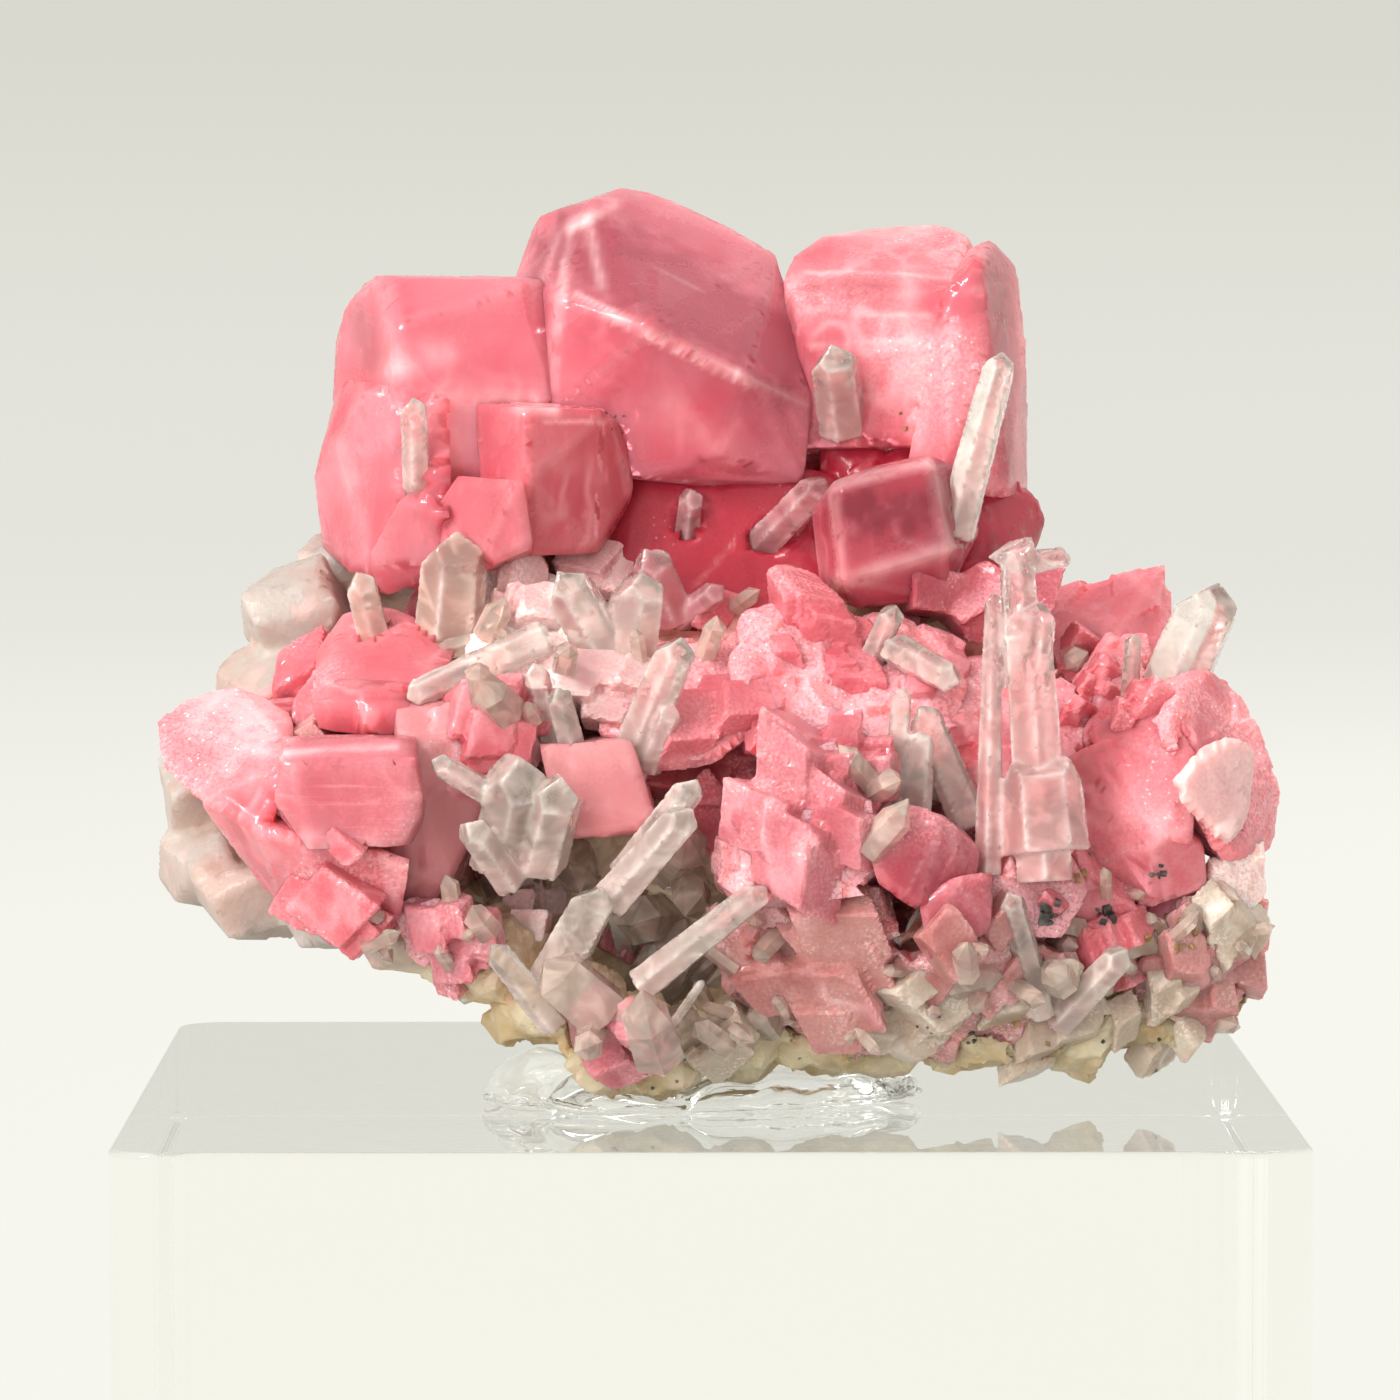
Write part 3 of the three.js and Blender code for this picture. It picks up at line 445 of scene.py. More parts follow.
def rhodochrosite(name, look):
    paint = Finish(name)
    tone = paint.clouds(look["toneSize"], 2.0).between(0.32, 0.68) * 0.45 + paint.carried("tone") * 0.3
    tone = tone + paint.domains(look["toneSize"] * 1.1, (1.0, 0.6, 0.8)) * 0.25
    veil = 1 - abs(paint.clouds(2.6, 2.0, (1.0, 1.0, 0.75), 7.0) - 0.5) * 14
    veil = veil.between(0.0, 1.0) * paint.clouds(4.0, 0.0, offset=21.0).between(0.42, 0.62) * look["veils"]
    streaks = paint.clouds(0.5, 2.0, look["streaks"], 3.0).between(0.55, 0.8) * 0.35 * look["veils"]
    frost = paint.carried("frost") * (0.5 + 0.5 * paint.clouds(0.13, 1.0, offset=11.0).between(0.3, 0.7))
    edge, dark, pale = paint.carried("edge"), paint.carried("dark"), paint.carried("pale")
    colour = veil.blend(tone.blend(look["deep"], look["bright"]), look["pale"])
    colour = streaks.blend(colour, look["pale"])
    colour = (frost * look["frost"]).blend(colour, look["frosted"])
    # edges paled: partly frosted, chipped edges, partly a painted highlight along the edges
    colour = (edge * (0.25 + frost * 0.6)).blend(colour, look["pale"])
    # painted highlight: small white specks on the frosted parts stand in for glints of light
    paintedSparkle = paint.cells(0.3).between(0.2, 0.1) * paint.carried("frost").between(0.35, 0.8)
    colour = (paintedSparkle * 0.8).blend(colour, (1.0, 0.93, 0.92))
    # dark: painted shade, mostly on faces turned from the light and in creases between grown-together
    # crystals
    colour = (dark * 0.9).blend(colour, tuple(0.5 * c for c in look["deep"]))
    # pale: partly real pale striations, flakes and coatings, partly painted highlights along edges
    colour = (pale * 0.7).blend(colour, look["white"])
    clearColour = tone.blend(look["clearDeep"], look["clearBright"])
    # the painted shade darkens the clear part too
    clearColour = (dark * 0.9).blend(clearColour, tuple(0.5 * c for c in look["clearDeep"]))
    grain = paint.clouds(0.2, 2.0, rough=0.8) * (0.6 + paint.carried("frost"))
    normal = paint.bump(grain, look["grain"], 0.06 * mm)
    clear = paint.add("ShaderNodeBsdfPrincipled", {}, {
        "Base Color": clearColour, "Roughness": 0.08 + frost * 0.3, "IOR": 1.6, "Normal": normal,
        "Transmission Weight": 1.0})
    cloudy = paint.add("ShaderNodeBsdfPrincipled", {"subsurface_method": "BURLEY"}, {
        "Base Color": colour, "Roughness": 0.24 + frost * 0.3 + edge * 0.1, "IOR": 1.5, "Normal": normal,
        "Specular IOR Level": 0.35, "Subsurface Weight": 1.0, "Subsurface Radius": (1.0, 0.38, 0.32),
        "Subsurface Scale": look["scatter"] * mm,
        "Coat Weight": look["coat"], "Coat Roughness": 0.06, "Coat IOR": 1.5})
    share = look["cloudy"] + veil * 0.25 + streaks * 0.3 + frost * look["frost"] * 0.5 + pale * 0.5
    return paint.close(paint.add("ShaderNodeMixShader", {}, {0: share, 1: clear, 2: cloudy}))


baseLook = {"toneSize": 3.2, "veils": 0.45, "streaks": (1.0, 1.0, 0.25), "frost": 0.4, "grain": 0.25,
            "cloudy": 0.6, "scatter": 0.8, "coat": 0.2,
            "deep": (0.80, 0.048, 0.105), "bright": (0.97, 0.175, 0.255), "pale": (0.98, 0.46, 0.50),
            "frosted": (0.96, 0.47, 0.49), "white": (0.98, 0.72, 0.72),
            "clearDeep": (0.92, 0.23, 0.34), "clearBright": (0.99, 0.50, 0.57)}
looks = {
    "crownPink": {"cloudy": 0.5, "scatter": 1.2, "veils": 0.2, "coat": 0.05, "deep": (0.87, 0.08, 0.135),
                  "bright": (0.98, 0.30, 0.36)},
    "striatedPink": {"cloudy": 0.55, "scatter": 1.0, "streaks": (0.15, 1.0, 3.2), "veils": 0.9,
                     "deep": (0.84, 0.095, 0.15), "bright": (0.96, 0.25, 0.30)},
    "frostedPink": {"frost": 0.7, "veils": 0.5, "deep": (0.80, 0.075, 0.12), "bright": (0.93, 0.195, 0.245)},
    # painted shade: the recess wall under the crown, a darker copy of the pink for the shade it lies in
    "deepCrimson": {"deep": (0.46, 0.010, 0.032), "bright": (0.64, 0.026, 0.06), "pale": (0.66, 0.09, 0.13),
                    "coat": 0.0, "veils": 0.15, "frost": 0.1,
                    "clearDeep": (0.66, 0.04, 0.10), "clearBright": (0.80, 0.10, 0.17)},
    "candyPink": {"deep": (0.86, 0.09, 0.135), "bright": (0.97, 0.23, 0.275), "frost": 0.5},
    "raspberry": {"deep": (0.50, 0.035, 0.07), "bright": (0.74, 0.09, 0.135), "frost": 0.45, "veils": 0.3,
                  "clearDeep": (0.80, 0.17, 0.27), "clearBright": (0.93, 0.36, 0.45)},
    "salmonPink": {"deep": (0.92, 0.26, 0.29), "bright": (0.97, 0.41, 0.42), "frost": 0.3, "veils": 0.3,
                   "clearDeep": (0.97, 0.55, 0.57), "clearBright": (0.99, 0.68, 0.68)},
    "purplePink": {"deep": (0.62, 0.078, 0.12), "bright": (0.83, 0.205, 0.25), "frost": 0.6, "veils": 0.4,
                   "frosted": (0.95, 0.60, 0.62),
                   "clearDeep": (0.89, 0.34, 0.43), "clearBright": (0.97, 0.56, 0.62)},
    "palePink": {"deep": (0.56, 0.145, 0.135), "bright": (0.74, 0.285, 0.255), "frost": 0.5, "veils": 0.5,
                 "frosted": (0.94, 0.72, 0.68),
                 "clearDeep": (0.93, 0.54, 0.56), "clearBright": (0.98, 0.72, 0.71)},
    "veinBeige": {"deep": (0.60, 0.42, 0.30), "bright": (0.84, 0.68, 0.54), "frost": 0.6, "veils": 0.6,
                  "frosted": (0.92, 0.84, 0.74), "pale": (0.92, 0.82, 0.72), "clearDeep": (0.86, 0.70, 0.54),
                  "clearBright": (0.95, 0.84, 0.72)},
    "coatedPink": {"deep": (0.93, 0.39, 0.41), "bright": (0.98, 0.57, 0.56), "frost": 0.9, "veils": 0.7,
                   "frosted": (0.98, 0.82, 0.78), "pale": (0.98, 0.78, 0.75), "clearDeep": (0.97, 0.64, 0.65),
                   "clearBright": (0.99, 0.80, 0.79)},
}
finishes = {name: rhodochrosite(name, {**baseLook, **change}) for name, change in looks.items()}
smallLook = {"scatter": 0.3, "cloudy": 0.6, "toneSize": 1.4}
smallKinds = ("candyPink", "frostedPink", "purplePink", "palePink", "coatedPink", "raspberry", "veinBeige")
smallFinishes = {name: rhodochrosite("small_" + name, {**baseLook, **looks[name], **smallLook})
                 for name in smallKinds}

# steps: spacing and height of the growth steps and the direction they climb; frost: share of sugary surface
# dark: streaks of painted shade, mostly on faces turned from the light; pale: pale streaks, partly
# striations, flakes and coatings, partly painted highlights along edges
crystals = {
    "crown_left": {"finish": "crownPink", "steps": (1.9, 0.02, (0.4, 0.2, 0.9)), "frost": 0.12, "plates": 2,
                   "rise": 0.06, "grow": 0.30, "grid": 1.2,
                   "pale": [(-11.2, 27.9, -10.7, 25.4, 0.3, 0.3), (-9.2, 24.4, -6.2, 24.3, 0.5, 0.45),
                            (-10.9, 25.3, -9.3, 25.9, 0.5, 0.35), (-12.6, 22.6, -11.8, 19.0, 0.35, 0.3)],
                   "dark": [(-11.9, 27.0, -11.6, 25.4, 0.6, 0.6), (-10.6, 22.4, -8.6, 20.0, 0.5, 0.4)]},
    "crown_centre": {"finish": "crownPink", "steps": (2.3, 0.02, (-0.75, 0.1, 0.6)), "frost": 0.1,
                     "plates": 1, "rise": 0.05, "grow": 0.24, "grid": 1.2,
                     "dark": [(-3.9, 29.4, 2.4, 25.9, 1.4, 1.9), (-5.7, 29.6, -6.2, 27.0, 0.35, 0.8),
                              (-5.0, 30.6, -5.1, 28.9, 0.16, 0.9), (2.3, 24.2, 1.9, 22.5, 0.9, 0.45),
                              (-2.6, 21.6, -0.6, 21.2, 0.6, 0.3)],
                     "pale": [(-4.6, 27.9, 1.0, 25.2, 0.10, 0.8), (1.0, 25.2, 3.4, 24.1, 0.10, 0.6),
                              (-4.6, 30.5, -5.6, 24.5, 0.16, 0.35), (-4.2, 30.5, -3.7, 28.2, 0.22, 0.6),
                              (-5.1, 30.0, -6.1, 26.9, 0.12, 0.4), (-4.9, 29.0, -5.2, 24.8, 0.12, 0.3),
                              (-3.4, 31.0, -4.8, 30.2, 0.22, 0.7), (-1.4, 24.4, 0.6, 22.4, 0.6, 0.25)]},
    "crown_right": {"finish": "frostedPink", "steps": (1.15, 0.05, (0.1, 0.1, 1.0)), "frost": 0.35,
                    "plates": 2, "rise": 0.06, "grow": 0.22, "grid": 1.2,
                    "pale": [(5.0, 30.2, 8.0, 30.1, 0.35, 0.5), (7.2, 28.4, 7.6, 23.0, 0.5, 0.35),
                             (3.6, 28.6, 8.6, 28.4, 0.07, 0.35), (3.6, 27.4, 8.0, 27.2, 0.08, 0.4),
                             (3.8, 26.2, 7.4, 26.4, 0.06, 0.35)],
                    "dark": [(10.1, 29.0, 10.4, 21.8, 0.6, 0.9), (3.8, 28.1, 6.8, 28.0, 0.35, 0.6),
                             (4.4, 25.4, 5.8, 22.6, 0.9, 0.5)]},
    "step_block": {"finish": "candyPink", "steps": (1.4, 0.01, (0.9, 0, 0.4)), "frost": 0.05, "plates": 1,
                   "rise": 0.03, "grow": 0.22,
                   "dark": [(-7.5, 23.8, -7.2, 19.4, 0.5, 0.35), (-6.3, 23.6, -6.2, 19.4, 0.10, 0.5)],
                   "pale": [(-6.6, 24.1, -5.4, 23.9, 0.16, 1.0), (-5.8, 23.6, -2.9, 23.6, 0.08, 0.5)]},
    "deep_wall": {"finish": "deepCrimson", "steps": (1.2, 0.03, (0.3, 0, 0.9)), "frost": 0.1,
                  "grid": 1.5},
    "window_rhomb": {"finish": "raspberry", "steps": (0.9, 0.02, (0.9, 0, -0.3)), "frost": 0.1, "plates": 1,
                     "rise": 0.03, "dark": [(5.4, 20.6, 7.4, 20.4, 1.3, 1.2)],
                     "pale": [(4.5, 21.4, 7.7, 22.2, 0.14, 0.5), (7.7, 22.2, 8.3, 19.3, 0.12, 0.4),
                              (4.8, 18.2, 8.2, 19.2, 0.3, 0.5), (4.4, 21.2, 4.7, 18.4, 0.12, 0.4)]},
    "back_right_blades": {"finish": "candyPink", "steps": (0.8, 0.07, (0.5, 0, 0.8)), "frost": 0.4,
                          "facet": (1.6, 0.14)},
    "ridge_left": {"finish": "frostedPink", "steps": (0.9, 0.07, (-0.4, 0, 0.9)), "frost": 0.8,
                   "facet": (1.1, 0.22)},
    "ridge_centre": {"finish": "frostedPink", "steps": (0.7, 0.08, (0.5, 0, 0.9)), "frost": 0.9,
                     "facet": (1.2, 0.26)},
    "ridge_right": {"finish": "frostedPink", "steps": (0.8, 0.06, (0.9, 0, 0.4)), "frost": 0.6,
                    "facet": (1.2, 0.2)},
    "coated_cluster": {"finish": "coatedPink", "steps": (0.6, 0.10, (0.3, 0.3, 0.9)), "frost": 1.0,
                       "facet": (1.0, 0.24)},
    "left_plates": {"finish": "candyPink", "steps": (0.55, 0.06, (0.1, 0.3, 0.9)), "frost": 0.3,
                    "grow": 0.45},
    "left_flank": {"finish": "candyPink", "steps": (0.9, 0.08, (0.6, 0, 0.7)), "frost": 0.6,
                   "pale": [(-17.2, 14.0, -15.2, 13.2, 0.9, 0.5), (-16.6, 11.2, -15.6, 11.6, 0.8, 0.3)]},
    "left_inner": {"finish": "salmonPink", "steps": (0.8, 0.07, (-0.6, 0, 0.7)), "frost": 0.4},
    "dark_rhomb": {"finish": "striatedPink", "steps": (0.33, 0.05, (0.08, 0, 1.0)), "frost": 0.5, "grow": 0.3,
                   "pale": [(-14.4, 12.5, -10.6, 12.6, 0.14, 0.6), (-13.2, 11.0, -11.2, 11.1, 0.04, 0.3),
                            (-14.2, 10.3, -12.6, 10.3, 0.05, 0.3), (-13.4, 9.5, -11.4, 9.4, 0.3, 0.35)]},
    "salmon_rhomb": {"finish": "salmonPink", "steps": (1.3, 0.03, (0.9, 0, 0.3)), "frost": 0.15},
    "left_bottom_purple": {"finish": "purplePink", "steps": (0.5, 0.08, (0.5, 0, 0.8)), "frost": 0.7,
                           "facet": (0.9, 0.22)},
    "frosted_cluster": {"finish": "purplePink", "steps": (0.6, 0.10, (0.5, 0.2, 0.8)), "frost": 1.0,
                        "facet": (1.5, 0.34)},
    "striated_rhomb": {"finish": "raspberry", "steps": (0.5, 0.06, (0.8, 0, 0.5)), "frost": 0.4,
                       "dark": [(7.0, 8.6, 7.8, 9.2, 1.0, 0.35)],
                       "pale": [(6.6, 8.0, 7.6, 9.9, 0.04, 0.22), (7.4, 7.8, 8.3, 9.6, 0.04, 0.22),
                                (5.6, 9.6, 6.6, 10.6, 0.14, 0.5)]},
    "small_rhomb": {"finish": "raspberry", "steps": (0.5, 0.04, (0.2, 0, 0.9)), "frost": 0.2},
    "lower_pale_mass": {"finish": "palePink", "steps": (0.9, 0.12, (0.5, 0.2, 0.7)), "frost": 0.8,
                        "facet": (1.5, 0.36)},
    "lower_right_mass": {"finish": "palePink", "steps": (0.7, 0.12, (-0.4, 0.2, 0.8)), "frost": 0.8,
                         "facet": (1.3, 0.34)},
    "pillar_foot": {"finish": "purplePink", "steps": (0.7, 0.07, (0.6, 0, 0.7)), "frost": 0.6},
    "bottom_pinks": {"finish": "palePink", "steps": (0.7, 0.06, (0.7, 0, -0.4)), "frost": 0.4},
    "right_bright": {"finish": "candyPink", "steps": (1.0, 0.05, (0.5, 0, 0.8)), "frost": 0.3},
    "right_crown": {"finish": "frostedPink", "steps": (0.8, 0.07, (0.7, 0, 0.7)), "frost": 0.6,
                    "facet": (1.3, 0.16)},
    "right_tablet": {"finish": "coatedPink", "steps": (0.8, 0.03, (0.6, 0, 0.7)), "frost": 0.4},
    "cavity_rhomb": {"finish": "raspberry", "steps": (0.9, 0.03, (0.9, 0, 0.2)), "frost": 0.1},
    "right_corner_low": {"finish": "palePink", "steps": (0.7, 0.09, (0.6, 0, 0.6)), "frost": 0.6,
                         "facet": (1.3, 0.3)},
    "right_corner_chip": {"finish": "coatedPink", "steps": (0.7, 0.07, (0.6, 0, 0.6)), "frost": 0.6,
                          "facet": (1.0, 0.2)},
}
deepSlots = ("deep_wall", "window_rhomb", "cavity_rhomb")
paleSlots = ("lower_pale_mass", "lower_right_mass", "coated_cluster", "pillar_foot", "bottom_pinks")
gridSize = 0.15
closeUp = 0.14  # crystals that grew together touch, so each is grown over its seat gap


# a soft ragged streak seen from the front between two places (x, z from the block's top)
def lineMark(points, mark, seed):
    x1, z1, x2, z2, width, strength = mark
    seen = np.stack([points[:, 0] - x1, points[:, 2] - blockTop / mm - z1], axis=1)
    span = np.array([x2 - x1, z2 - z1])
    along = np.clip(seen @ span / (span @ span), 0, 1)
    gap = np.linalg.norm(seen - along[:, None] * span, axis=1)
    gap += 0.25 * width * clouds(points, 0.8, seed + 40, 3)
    broken = np.clip(0.85 + 0.6 * clouds(points, 0.5, seed + 41, 3), 0, 1)
    return strength * broken * np.exp(-(gap / width) ** 2)


def growCrystal(node, look, seed):
    mesh, points, normals, edgeDistance, heights = fineCopy(
        node, gridSize * look.get("grid", 1), look.get("plates", 2), look.get("rise", 0.05), seed)
    spacing, height, direction = look["steps"]
    climb = np.array(direction) / np.linalg.norm(direction)
    level = points @ climb / spacing + 0.45 * clouds(points, 3 * spacing, seed)
    step = level - np.floor(level)
    patch = np.clip(clouds(points, 2.2, seed + 3) + 1.1 * look["frost"], 0, 1)
    broken = np.clip(0.5 + 1.5 * clouds(points, 2.0 * spacing, seed + 2), 0, 1)
    relief = heights + height * broken * (step - 0.5) + 0.02 * clouds(points, 2.4, seed + 5)
    relief += look["frost"] * patch * 0.03 * clouds(points, 0.38, seed + 7)
    chips = np.clip(clouds(points, 0.7, seed + 9, 2), 0, 1) * np.exp(-edgeDistance / 0.16)
    relief += look.get("grow", closeUp) - (0.03 + 0.06 * look["frost"]) * chips
    tone = numbered(np.round(normals * 2.5).astype(np.int64), seed) * np.clip(edgeDistance / 0.12, 0, 1)
    if "facet" in look:  # rough crystals: a cluster of small tilted faces
        size, depth = look["facet"]
        tilted, border = facets(points, size, seed, 1.0)
        relief += depth * tilted
        tone = np.clip(0.5 + 0.8 * tilted, 0, 1)
        edgeDistance = np.minimum(edgeDistance, border * size * 0.5)
    setPoints(mesh, points + normals * relief[:, None])
    carry(mesh, "tone", tone)
    # the dark streaks are painted shade; the pale streaks are partly real striations and flakes, partly
    # painted highlights
    for kind in ("dark", "pale"):
        streaks = sum([lineMark(points, mark, seed) for mark in look.get(kind, ())], np.zeros(len(points)))
        carry(mesh, kind, np.clip(streaks, 0, 1))
    carry(mesh, "frost", np.clip(patch * (0.4 + look["frost"]), 0, 1))
    # edge: paler near edges and facet borders, partly frosted edges, partly a painted highlight
    carry(mesh, "edge", np.exp(-edgeDistance / 0.15))
    mesh.polygons.foreach_set("use_smooth", ["facet" not in look] * len(mesh.polygons))
    slot = "rhodochrosite"
    if node in deepSlots:
        slot = "deep_rhodochrosite"
    elif node in paleSlots:
        slot = "pale_rhodochrosite"
    addPiece(node + "_crystal", mesh, finishes[look["finish"]], slot, node)


for seed, (node, look) in enumerate(crystals.items()):
    growCrystal(node, look, 10 * seed)
print("rhodochrosite grown:", len(crystals), "pieces")


# quartz

quartz = {"grid": 0.12, "quickGrid": 0.18, "ribs": 0.3, "ribHeight": 0.008}
smokyNodes = ("quartz_smoky_stub", "quartz_left_finger")

# tint: the clear part; milk: the cloudy part; blush: the cloudy part near a crystal's foot
quartzLooks = {
    "clearQuartz": {"tint": (0.985, 0.94, 0.905), "milk": (0.93, 0.80, 0.71), "blush": (0.94, 0.65, 0.60),
                    "cloudiness": 0.13},
    "pillarQuartz": {"tint": (0.98, 0.86, 0.84), "milk": (0.80, 0.53, 0.49), "blush": (0.78, 0.36, 0.35),
                     "cloudiness": 0.14},
    "smokyQuartz": {"tint": (0.95, 0.86, 0.78), "milk": (0.90, 0.66, 0.55), "blush": (0.90, 0.52, 0.45),
                    "cloudiness": 0.26},
    # painted shade: quartz in the shaded recess, tinted darker red for the shade and for the crimson wall
    # seen through it
    "recessQuartz": {"tint": (0.98, 0.74, 0.74), "milk": (0.86, 0.46, 0.47), "blush": (0.78, 0.26, 0.30),
                     "cloudiness": 0.2},
    "druseQuartz": {"tint": (0.98, 0.90, 0.83), "milk": (0.94, 0.78, 0.66), "blush": (0.92, 0.62, 0.54),
                    "cloudiness": 0.22},
}


def quartzFinish(name, tint, milk, blush, cloudiness):
    paint = Finish(name)
    foot = paint.carried("foot")
    edge = paint.carried("edge")
    haze = paint.clouds(1.1, 2.0, twist=0.8)
    milky = foot * 0.4 + haze.between(0.40, 0.72) * 0.3 + edge * 0.4 + cloudiness
    milk = (foot * 0.8 + paint.clouds(1.6, 1.0, offset=17.0).between(0.45, 0.7) * 0.4).blend(milk, blush)
    # whiter frosted edges, which also stand in for a painted rim highlight
    milk = (edge * 0.8).blend(milk, (0.99, 0.97, 0.95))
    ribs = paint.clouds(0.2, 0.0, (1.0, 1.0, 3.0))
    normal = paint.bump(ribs, 0.06, 0.05 * mm)
    clear = paint.add("ShaderNodeBsdfPrincipled", {}, {
        "Base Color": tint, "Roughness": 0.02 + haze.between(0.4, 0.7) * 0.08, "IOR": 1.544,
        "Normal": normal, "Transmission Weight": 1.0})
    cloudy = paint.add("ShaderNodeBsdfPrincipled", {"subsurface_method": "BURLEY"}, {
        "Base Color": milk, "Roughness": 0.12, "IOR": 1.544, "Normal": normal,
        "Subsurface Weight": 0.5, "Subsurface Radius": (1.0, 0.9, 0.8), "Subsurface Scale": 0.3 * mm,
        "Transmission Weight": 0.15, "Coat Weight": 0.6, "Coat Roughness": 0.04})
    return paint.close(paint.add("ShaderNodeMixShader", {}, {0: milky, 1: clear, 2: cloudy}))


quartzFinishes = {name: quartzFinish(name, **look) for name, look in quartzLooks.items()}


def growQuartz(node, seed):
    grid = quartz["grid"]
    mesh, points, normals, edgeDistance = fineCopy(node, grid)[:4]
    low, high = points.min(0), points.max(0)
    rib = np.sin(points[:, 2] / quartz["ribs"] * 2 * math.pi + 3 * clouds(points, 0.9, seed))
    upright = np.abs(normals[:, 2]) < 0.75
    relief = quartz["ribHeight"] * rib * upright + 0.012 * clouds(points, 0.9, seed + 1)
    relief -= 0.06 * np.clip(clouds(points, 0.5, seed + 2, 2), 0, 1) * np.exp(-edgeDistance / 0.09)
    setPoints(mesh, points + normals * relief[:, None])
    foot = 1 - (points[:, 2] - low[2]) / (high[2] - low[2])
    broken = np.clip(0.7 + 0.8 * clouds(points, 0.6, seed + 6), 0, 1)
    # edge: frosted edges, partly a painted rim highlight
    carry(mesh, "edge", np.exp(-edgeDistance / 0.09) * broken)
    carry(mesh, "foot", np.clip(foot + 0.2 * clouds(points, 1.5, seed + 4), 0, 1) ** 1.5)
    mesh.polygons.foreach_set("use_smooth", [True] * len(mesh.polygons))
    kind = "clearQuartz"
    if node in smokyNodes:
        kind = "smokyQuartz"
    elif "recess" in node:
        kind = "recessQuartz"
    elif "pillar" in node:
        kind = "pillarQuartz"
    slot = "smoky_quartz" if node == "quartz_smoky_stub" else "quartz"
    addPiece(node + "_crystal", mesh, quartzFinishes[kind], slot, node)


quartzNodes = sorted(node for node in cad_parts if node.startswith("quartz_"))
for seed, node in enumerate(quartzNodes):
    growQuartz(node, 500 + 10 * seed)
print("quartz grown:", len(quartzNodes), "pieces")


# matrix of vein quartz
vein = {"grid": 0.22, "quickGrid": 0.3,
        "rock": ((0.62, 0.43, 0.28), (0.80, 0.64, 0.47)),  # the middle and the back
        "underside": ((0.50, 0.37, 0.20), (0.66, 0.56, 0.38)),
        "lobe": ((0.47, 0.345, 0.30), (0.46, 0.40, 0.36)),  # the smooth pale lobe at the left
        "iron": (0.42, 0.24, 0.10), "blush": (0.85, 0.50, 0.45), "pinkGround": (0.92, 0.34, 0.34),
        "speck": (0.05, 0.045, 0.05)}

# where the ground between the big crystals is pink, and the rock there is painted pinker for the pink light
# the crystals bounce onto it (x, z in millimetres, z from the block's top)
pinkOutline = [(-17, 12.4), (-15.2, 8.6), (-11.5, 6.6), (-8.4, 7.6), (-5, 9.8), (-0.5, 9), (3, 6.8), (6, 5.2),
               (12, 4.6), (17, 3.6), (19.2, 6), (19, 11.5), (17.4, 14.6), (13.5, 16.4), (9, 16.2), (1, 16.8),
               (-3.5, 17.4), (-9, 17.8), (-13.4, 15.6), (-16, 14)]


# which of the points x, z lie inside an outline
def insideOutline(x, z, outline):
    inside = np.zeros(np.shape(x), bool)
    for (x1, z1), (x2, z2) in zip(outline, outline[1:] + outline[:1]):
        crosses = (z1 > z) != (z2 > z)
        inside ^= crosses & (x < (x2 - x1) * (z - z1) / (z2 - z1 + 1e-9) + x1)
    return inside


def matrixFinish():
    paint = Finish("veinQuartz")
    split = paint.add("ShaderNodeSeparateXYZ", {}, {0: paint.place}, "X")
    height = paint.add("ShaderNodeSeparateXYZ", {}, {0: paint.place}, "Z") - blockTop / mm
    broad = paint.clouds(2.6, 3.0)
    left = (split + broad * 5).between(-6.0, -10.5)
    low = (height + broad * 4).between(8.5, 5.0)
    colour = broad.between(0.35, 0.65).blend(*vein["rock"])
    # the lower rock: painted shade, darker than the rest, in its own olive beige
    colour = low.blend(colour, broad.between(0.4, 0.6).blend(*vein["underside"]))
    colour = left.blend(colour, broad.between(0.42, 0.6).blend(*vein["lobe"]))
    stain = paint.clouds(1.5, 4.0, offset=31.0).between(0.56, 0.70) * (1 - left * 0.85)
    colour = (stain * 0.75).blend(colour, vein["iron"])
    blush = paint.clouds(2.0, 2.0, offset=57.0).between(0.58, 0.72)
    colour = (blush * 0.4).blend(colour, vein["blush"])
    # partly the pink ground's own colour, partly painted pink light bounced from the crystals
    colour = (paint.carried("blush") * 0.85).blend(colour, vein["pinkGround"])
    specks = paint.cells(0.55).between(0.16, 0.08) * paint.clouds(2.4, 1.0, offset=77.0).between(0.55, 0.65)
    colour = (specks * (1 - left) * 0.8).blend(colour, vein["speck"])
    grain = paint.clouds(0.16, 3.0) + paint.cells(0.28) * 0.6
    return paint.close(paint.add("ShaderNodeBsdfPrincipled", {"subsurface_method": "BURLEY"}, {
        "Base Color": colour, "Roughness": 0.42 + grain * 0.1, "IOR": 1.54,
        "Normal": paint.bump(grain, 0.5, 0.08 * mm),
        "Subsurface Weight": 0.7, "Subsurface Radius": (1.0, 0.75, 0.55), "Subsurface Scale": 1.1 * mm,
        "Coat Weight": 0.25, "Coat Roughness": 0.25}))


def growMatrix():
    mesh, points, normals = fineCopy("matrix", vein["grid"])[:3]
    coarse, coarseBorder = facets(points, 2.1, 3, 0.75)
    fine = facets(points, 0.8, 23, 0.9)[0]
    calm = np.clip((points[:, 0] + 11) / 3, 0.14, 1)  # the pale lobe at the left is smoother
    relief = 0.36 * coarse + 0.18 * fine + 0.03 * clouds(points, 0.4, 5) - 0.06 * np.exp(-coarseBorder / 0.05)
    setPoints(mesh, points + normals * (calm * relief)[:, None])
    pink = insideOutline(points[:, 0], points[:, 2] - blockTop / mm, pinkOutline) & (points[:, 1] < 1)
    carry(mesh, "blush", pink * np.clip(0.75 + 0.5 * clouds(points, 1.2, 71, 2), 0, 1))
    mesh.polygons.foreach_set("use_smooth", [face.center.x < -10.5 * mm for face in mesh.polygons])
    addPiece("matrix_rock", mesh, matrixFinish(), "matrix", "matrix")


growMatrix()
print("matrix grown")


# small crystals, seated on the surfaces that are already there

